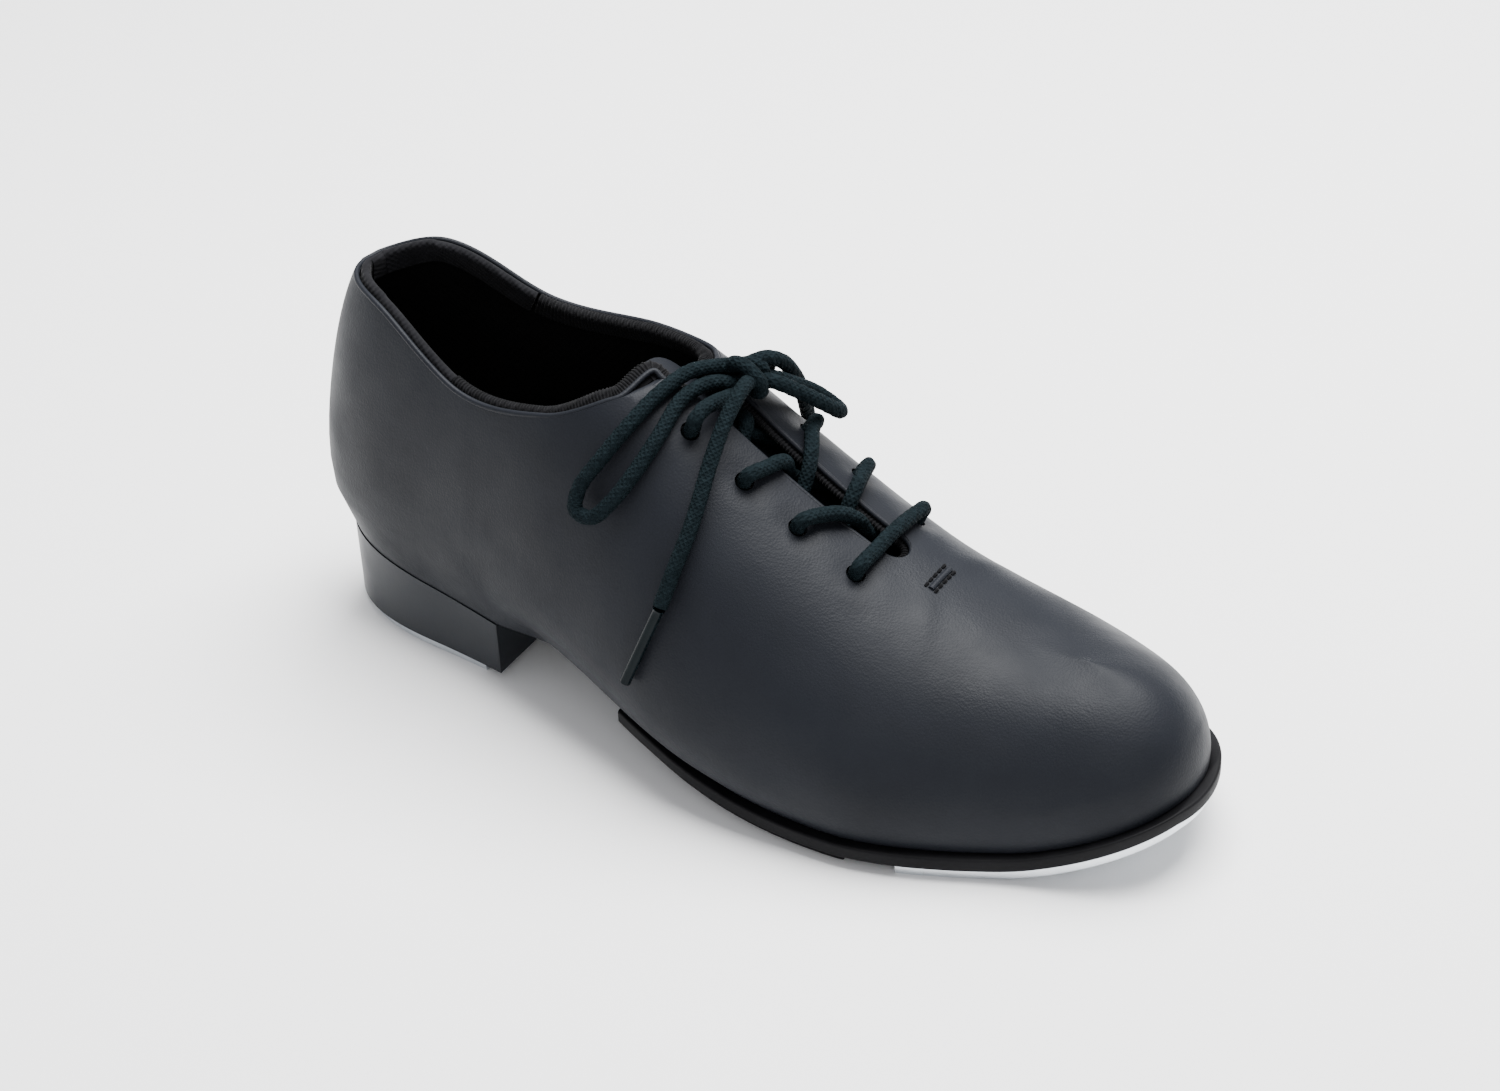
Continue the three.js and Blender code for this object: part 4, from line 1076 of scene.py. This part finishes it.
# %% [markdown]
# The ribbed tape is three lengths: thick down each side, and thin by the throat to leave the
# lace its room. The ribs stand a millimetre apart.

# %% Ribbed tape: one rib on every point
RIB_PITCH, RIB_RADIUS = 1.0, 0.3
every = round(RIB_PITCH / PATH_STEP)
for name, part, wall, proud in (("outer_side_tape", outer_side, ROLL_WALL, ROLL_PROUD),
                                ("throat_edge_tape", throat_part, BINDING_WALL, EDGE_PROUD),
                                ("inner_side_tape", inner_side, ROLL_WALL, ROLL_PROUD)):
    section = tape_section(BINDING_DEEP, wall, proud)
    tape = ribbon(name, edge_points[part], edge_out[part], section)
    dress(tape, "black_tape", stands_for=["throat_binding"] if part is throat_part else [])
    rib_path = np.array([(0, depth, -inward) for depth, inward in section[1:]]) * MM
    rib = tidy(tube("rib", rib_path, even_radius(RIB_RADIUS), 6), 60)
    along = np.cross(into_leather(edge_points[part], edge_out[part]), edge_out[part])
    places = part[::every]
    ribs = repeated(name + "_ribs", rib, edge_points[places], along[::every], edge_out[places], "black_tape")
    dress(ribs, "black_tape")
    print(name, len(places), "ribs")

# %% [markdown]
# ## Lining and sock
# The inside is a brushed cloth, seen through the ankle opening. It could be draped, but it lies
# tight against the upper, so it is the last's form again, drawn in further, with a sock to stand on.

# %% Lining
LINING_IN, SOCK_SLACK, SOCK_LOW, SOCK_HIGH = 3.2, 0.8, 4.2, 5.7
lining = form("foot_lining", LINING_IN)
hollow = form("hollow", LINING_OUT)
lining_knives = [*opening_knives(BINDING_DEEP + 0.6), *punches()]
floor_line = [(x, float(feather(x)) + 4.5) for x in np.arange(-20, LENGTH + 20, 2.0)]
floor_knife = prism("floor_knife", [(-20, -FAR), *floor_line, (LENGTH + 20, -FAR)], "Y", -FAR, FAR)
cut(lining, hollow, floor_knife, *lining_knives)
discard(hollow, floor_knife, *lining_knives)
dress(tidy(lining, 50), "black_cloth", stands_for=["quarter_lining", "vamp_lining"])

sock_edge = sole_profile(LINING_OUT + SOCK_SLACK, SOCK_LOW, SOCK_HIGH, 0.5)
sock = sheet_under_foot("foot_sock", sock_edge, 0, LENGTH)
dress(sock, "black_cloth", stands_for=["sock_liner"])
print("lining", len(lining.data.polygons), "faces")

# %% [markdown]
# The tongue lies under the lace on the same form, with a rounded tip that shows over the collar. It
# is two layers, leather over cloth, and both ride on the tongue's own body, so that they swing with it.

# %% Tongue
TONGUE_TIP, TONGUE_ROOT, TONGUE_HALF = at(0.377), at(0.757), 20
LACE_ROOM, TIP_ROUND = 6.8, 14
TONGUE_IN = LINING_OUT + LACE_ROOM
TONGUE_WALL, TONGUE_LINING_WALL = 1.5, 1
tongue_depth = smooth([(at(0.67), TONGUE_IN), (at(0.74), LINING_OUT + GAP)])


def tongue_layer(name, low, high):
    """One layer of the tongue between two depths, with rounded edges."""
    round_end = TONGUE_TIP + TIP_ROUND
    along = np.r_[TONGUE_TIP + TIP_ROUND * (1 - np.cos(np.linspace(0.04, np.pi / 2, 16))),
                  np.linspace(round_end + 1, TONGUE_ROOT, 60)]
    tip = np.clip((along - TONGUE_TIP) / TIP_ROUND, 0, 1)
    taper = 1 - 0.3 * np.clip((along - round_end) / (TONGUE_ROOT - round_end), 0, 1)
    half = TONGUE_HALF * np.sqrt(1 - (1 - tip) ** 2) * taper
    across = np.sin(np.linspace(-np.pi / 2, np.pi / 2, 27))
    px = np.repeat(along, len(across))
    py = THROAT_Y + np.repeat(half, len(across)) * np.tile(across, len(along))
    grid = (len(along), len(across), 3)
    top, normals = (part.reshape(grid) for part in top_points(px, py, tongue_depth(px) + low))
    wall = (high - low) * np.sqrt(np.clip(1 - across**8, 0.0, 1))[None, :, None]
    under = top - normals * np.maximum(wall, 0.05) * 0.9
    rows = [[*top[i], *under[i][::-1][1:-1]] for i in range(len(along))]
    verts, faces = skin(rows)
    return tidy(new_object(name, to_frame(verts), faces), 60)


tongue = tongue_layer("leather_tongue", 0, TONGUE_WALL)
dress(tongue, "upper_leather", "tongue", ["tongue"])
lining_top = TONGUE_WALL + GAP
tongue_lining = tongue_layer("cloth_tongue_lining", lining_top, lining_top + TONGUE_LINING_WALL)
dress(tongue_lining, "black_cloth", "tongue", ["tongue_lining"])
print("tongue", round(TONGUE_ROOT - TONGUE_TIP), "mm long")

# %% [markdown]
# ## Sole, heel and taps
# Under the foot come a thin hard sole, a rubber pad and the toe tap, and a block heel with its
# own tap. All follow the feather edge's outline, so one function makes them, with each piece's own edge
# rounding. Screw holes are cut, because a countersunk hole shows its depth from any side.

# %% Soles and heel
SOLE_EDGE, SOLE_START, PAD_START, PAD_END, TAP_START = 3, at(0.42), at(0.47), at(0.705), at(0.757)
PAD_WALL, PAD_SET_IN, TAP_SET_IN, HEEL_TAP_SET_IN = 1.8, 1.6, 1.4, 1.5
COVER_WALL, COVER_SET_IN = 1.3, 2.5
HEEL_LENGTH, HEEL_TAP_LENGTH = 64, 57
SOLE_UNDER = -GAP - SOLE_WALL
SCREW_HEAD, SCREW_SHANK = 3, 1.3


def level_at(value):
    return lambda x: np.zeros_like(x) + value


sole = sheet_under_foot("half_sole", sole_profile(-SOLE_EDGE, SOLE_UNDER, -GAP, 0.7), SOLE_START, LENGTH)
pad_top = SOLE_UNDER - GAP
pad = sheet_under_foot("grip_pad", sole_profile(PAD_SET_IN - SOLE_EDGE, pad_top - PAD_WALL, pad_top, 0.4),
                       PAD_START, PAD_END)
waist = sheet_under_foot("waist_skin", sole_profile(COVER_SET_IN, -GAP - COVER_WALL, -GAP, 0.4),
                         HEEL_LENGTH + GAP, SOLE_START - GAP)
heel = sheet_under_foot("heel_stack", sole_profile(-0.4, 0, 0, 0.0), 0, HEEL_LENGTH,
                        level_at(TAP_WALL + GAP), lambda x: feather(x) - GAP)
toe_edge = sole_profile(TAP_SET_IN - SOLE_EDGE, -BALL_Z, -BALL_Z + TAP_WALL, 0.55)
toe_tap = sheet_under_foot("toe_plate", toe_edge, TAP_START, LENGTH)
heel_tap = sheet_under_foot("heel_plate", sole_profile(HEEL_TAP_SET_IN, 0, TAP_WALL, 0.5), 0,
                            HEEL_TAP_LENGTH, level_at(0.0), level_at(0.0))
print("heel", HEEL_LENGTH, "mm long, sole", round(LENGTH - SOLE_START), "mm")

# %% [markdown]
# Three screws hold each tap. A hole is turned and then taken out of the tap and of what is above it,
# and the same tree as the ribs' sets a screw in each.

# %% Screws and their holes
toe_places = [(at(0.8), -25), (at(0.8), 24), (at(0.925), -1)]
heel_places = [(11, 0), (43, -15), (43, 15)]


def turned(name, profile, sides=40):
    """A turned solid about Z from (radius, height) pairs."""
    angles = np.linspace(0, 2 * np.pi, sides, endpoint=False)
    rings = [(max(radius, 1e-3), high) for radius, high in profile]
    rows = [[(r * math.cos(a), r * math.sin(a), high) for a in angles] for r, high in rings]
    verts, faces = skin(rows)
    return tidy(new_object(name, np.array(verts) * MM, faces), 40)


def screw():
    """A flat countersunk screw seen from below, with a cross recess."""
    body = turned("screw", [(0, 0.0), (2.2, 0.0), (SCREW_HEAD - 0.15, 0.03), (SCREW_HEAD, 0.15),
                            (SCREW_HEAD, 0.4), (SCREW_SHANK, 2.1), (SCREW_SHANK, 5.8), (0, 6.6)], 36)
    bars = []
    for turn in (0, math.pi / 2):
        bm = bmesh.new()
        bmesh.ops.create_cube(bm, size=1)
        bmesh.ops.scale(bm, verts=bm.verts, vec=(3.3 * MM, 0.75 * MM, 2.0 * MM))
        bmesh.ops.rotate(bm, verts=bm.verts, matrix=Matrix.Rotation(turn, 3, "Z"))
        mesh = bpy.data.meshes.new("recess")
        bm.to_mesh(mesh)
        bm.free()
        bar = bpy.data.objects.new("recess", mesh)
        bpy.context.scene.collection.objects.link(bar)
        bars.append(bar)
    cut(body, *bars)
    discard(*bars)
    return tidy(body, 35)


def seats(places, slope_of, height_of):
    """Where each screw stands, its sideways direction and the way it is driven."""
    points = np.array([(x, y, height_of(x)) for x, y in places], float)
    ways = np.array([(-slope_of(x), 0, 1) for x, _ in places], float)
    ways /= np.linalg.norm(ways, axis=1, keepdims=True)
    turns = np.cross(np.tile([0, 1.0, 0], (len(places), 1)), ways)
    return points, turns, ways


def toe_slope(x):
    return float(feather(x + 1) - feather(x - 1)) / 2


SUNK = 0.15
toe_seats = seats(toe_places, toe_slope, lambda x: float(feather(x)) - BALL_Z + SUNK)
heel_seats = seats(heel_places, lambda x: 0.0, lambda x: SUNK)


def drill(piece, found):
    holes = []
    for i, (point, _, way) in enumerate(zip(*found)):
        mouth, bore = SCREW_HEAD + GAP, SCREW_SHANK + GAP
        hole = turned(f"hole_{i}", [(mouth, -4), (mouth, 0.4), (bore, 2.2), (bore, 9.5)], 36)
        turn = Vector((0, 0, 1)).rotation_difference(Vector(way)).to_matrix().to_4x4()
        hole.data.transform(Matrix.Translation(Vector(to_frame(point))) @ turn)
        holes.append(hole)
    cut(piece, *holes)
    discard(*holes)
    return tidy(piece, 40)


for piece, found in ((toe_tap, toe_seats), (sole, toe_seats), (heel_tap, heel_seats), (heel, heel_seats)):
    drill(piece, found)
dress(sole, "sole_black", stands_for=["forefoot_sole"])
dress(pad, "pad_rubber", stands_for=["rubber_pad"])
dress(waist, "sole_black", stands_for=["waist_cover"])
dress(heel, "heel_plastic", stands_for=["heel_block"])
dress(toe_tap, "tap_metal", stands_for=["toe_tap"])
dress(heel_tap, "tap_metal", stands_for=["heel_tap"])
for label, found in (("toe", toe_seats), ("heel", heel_seats)):
    screws = repeated(f"{label}_screws", screw(), *found, "steel")
    dress(screws, "steel", stands_for=[f"{label}_tap_screw_{n}" for n in (1, 2, 3)])
print("taps drilled")

# %% [markdown]
# ## Bar tack
# Two short rows of stitches close the throat's base, where the pull of the lace would tear it.
# A stitch is a small arch of thread, set on each point of its row by the same tree as the ribs.

# %% Bar tack stitches
TACK_LONG, TACK_WIDE, TACK_X, TACK_Y = 9.4, 2.9, THROAT_END + 10.5, THROAT_Y - 1.3
STITCHES = 5
STITCH_REACH, STITCH_RISE, THREAD_RADIUS = 0.72, 0.5, 0.42
arch = [(t * STITCH_REACH, 0, STITCH_RISE * math.cos(t * math.pi / 2) - 0.1) for t in np.linspace(-1, 1, 9)]
stitch = tidy(tube("stitch", np.array(arch) * MM, even_radius(THREAD_RADIUS), 8), 60)
row = np.linspace(-TACK_LONG / 2, TACK_LONG / 2, STITCHES)
tack_plan = np.array([(TACK_X + side * TACK_WIDE / 2, TACK_Y + along) for side in (-1, 1) for along in row])
tack_points, tack_out = top_points(tack_plan[:, 0], tack_plan[:, 1], -0.1)
tack_points = tack_points + tack_out * puckers(tack_points)[:, None]
across_tack = np.cross(np.tile([1.0, 0, 0], (len(tack_plan), 1)), tack_out) * -1
tack = repeated("tack_stitches", stitch, tack_points, across_tack, tack_out, "thread")
dress(tack, "thread", stands_for=["bar_tack"])

# %% [markdown]
# Between the two rows the leather is pinched up into a low ridge. A short tube, sunk most of the
# way into the upper, gives it, because only its back shows.

# %% Pinched ridge
RIDGE_RADIUS = 0.95
pinch_y = np.linspace(TACK_Y - TACK_LONG / 2 - 0.6, TACK_Y + TACK_LONG / 2 + 0.6, 40)
pinch_points, pinch_out = top_points(np.full(40, TACK_X), pinch_y, 0.25)
pinch_points = pinch_points + pinch_out * puckers(pinch_points)[:, None]
pinch = tube("tack_ridge", to_frame(pinch_points), even_radius(RIDGE_RADIUS), 16)
dress(tidy(pinch, 60), "upper_leather")
print("bar tack", len(tack_plan), "stitches")

# %% [markdown]
# ## Floor and light
# A pale floor and large soft lamps, as in a product studio: one above and behind for the sheen on
# the toe, and a weak one in front to open the shadows.

# %% Floor and lights
floor = new_object("floor", [(-3, -3, 0), (3, -3, 0), (3, 3, 0), (-3, 3, 0)], [(0, 1, 2, 3)])
floor_finish, _, _ = new_finish("floor", (0.9, 0.9, 0.9), 0.9)
floor.data.materials.append(floor_finish)
floor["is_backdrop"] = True


def lamp(name, place, aim, size, power):
    data = bpy.data.lights.new(name, "AREA")
    data.shape = "SQUARE"
    data.size = size
    data.energy = power
    lamp_object = bpy.data.objects.new(name, data)
    lamp_object.location = place
    lamp_object.rotation_euler = (Vector(aim) - Vector(place)).to_track_quat("-Z", "Y").to_euler()
    bpy.context.scene.collection.objects.link(lamp_object)


lamp("top", (0.12, 0.32, 1.1), (0.1, 0, 0), 0.95, 58)
lamp("front", (0.7, -1.0, 0.9), (0.1, 0, 0.03), 0.9, 3)
world = bpy.data.worlds.new("studio")
world.use_nodes = True
world.node_tree.nodes["Background"].inputs["Color"].default_value = (0.95, 0.96, 1, 1)
world.node_tree.nodes["Background"].inputs["Strength"].default_value = 0.68
bpy.context.scene.world = world
print("lamps", len(bpy.data.lights))

# %% Finish
VISUAL_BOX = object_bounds()
for label, box in (("cad", CAD_BOX), ("visual", VISUAL_BOX)):
    print(label, [[round(v, 4) for v in corner] for corner in box])
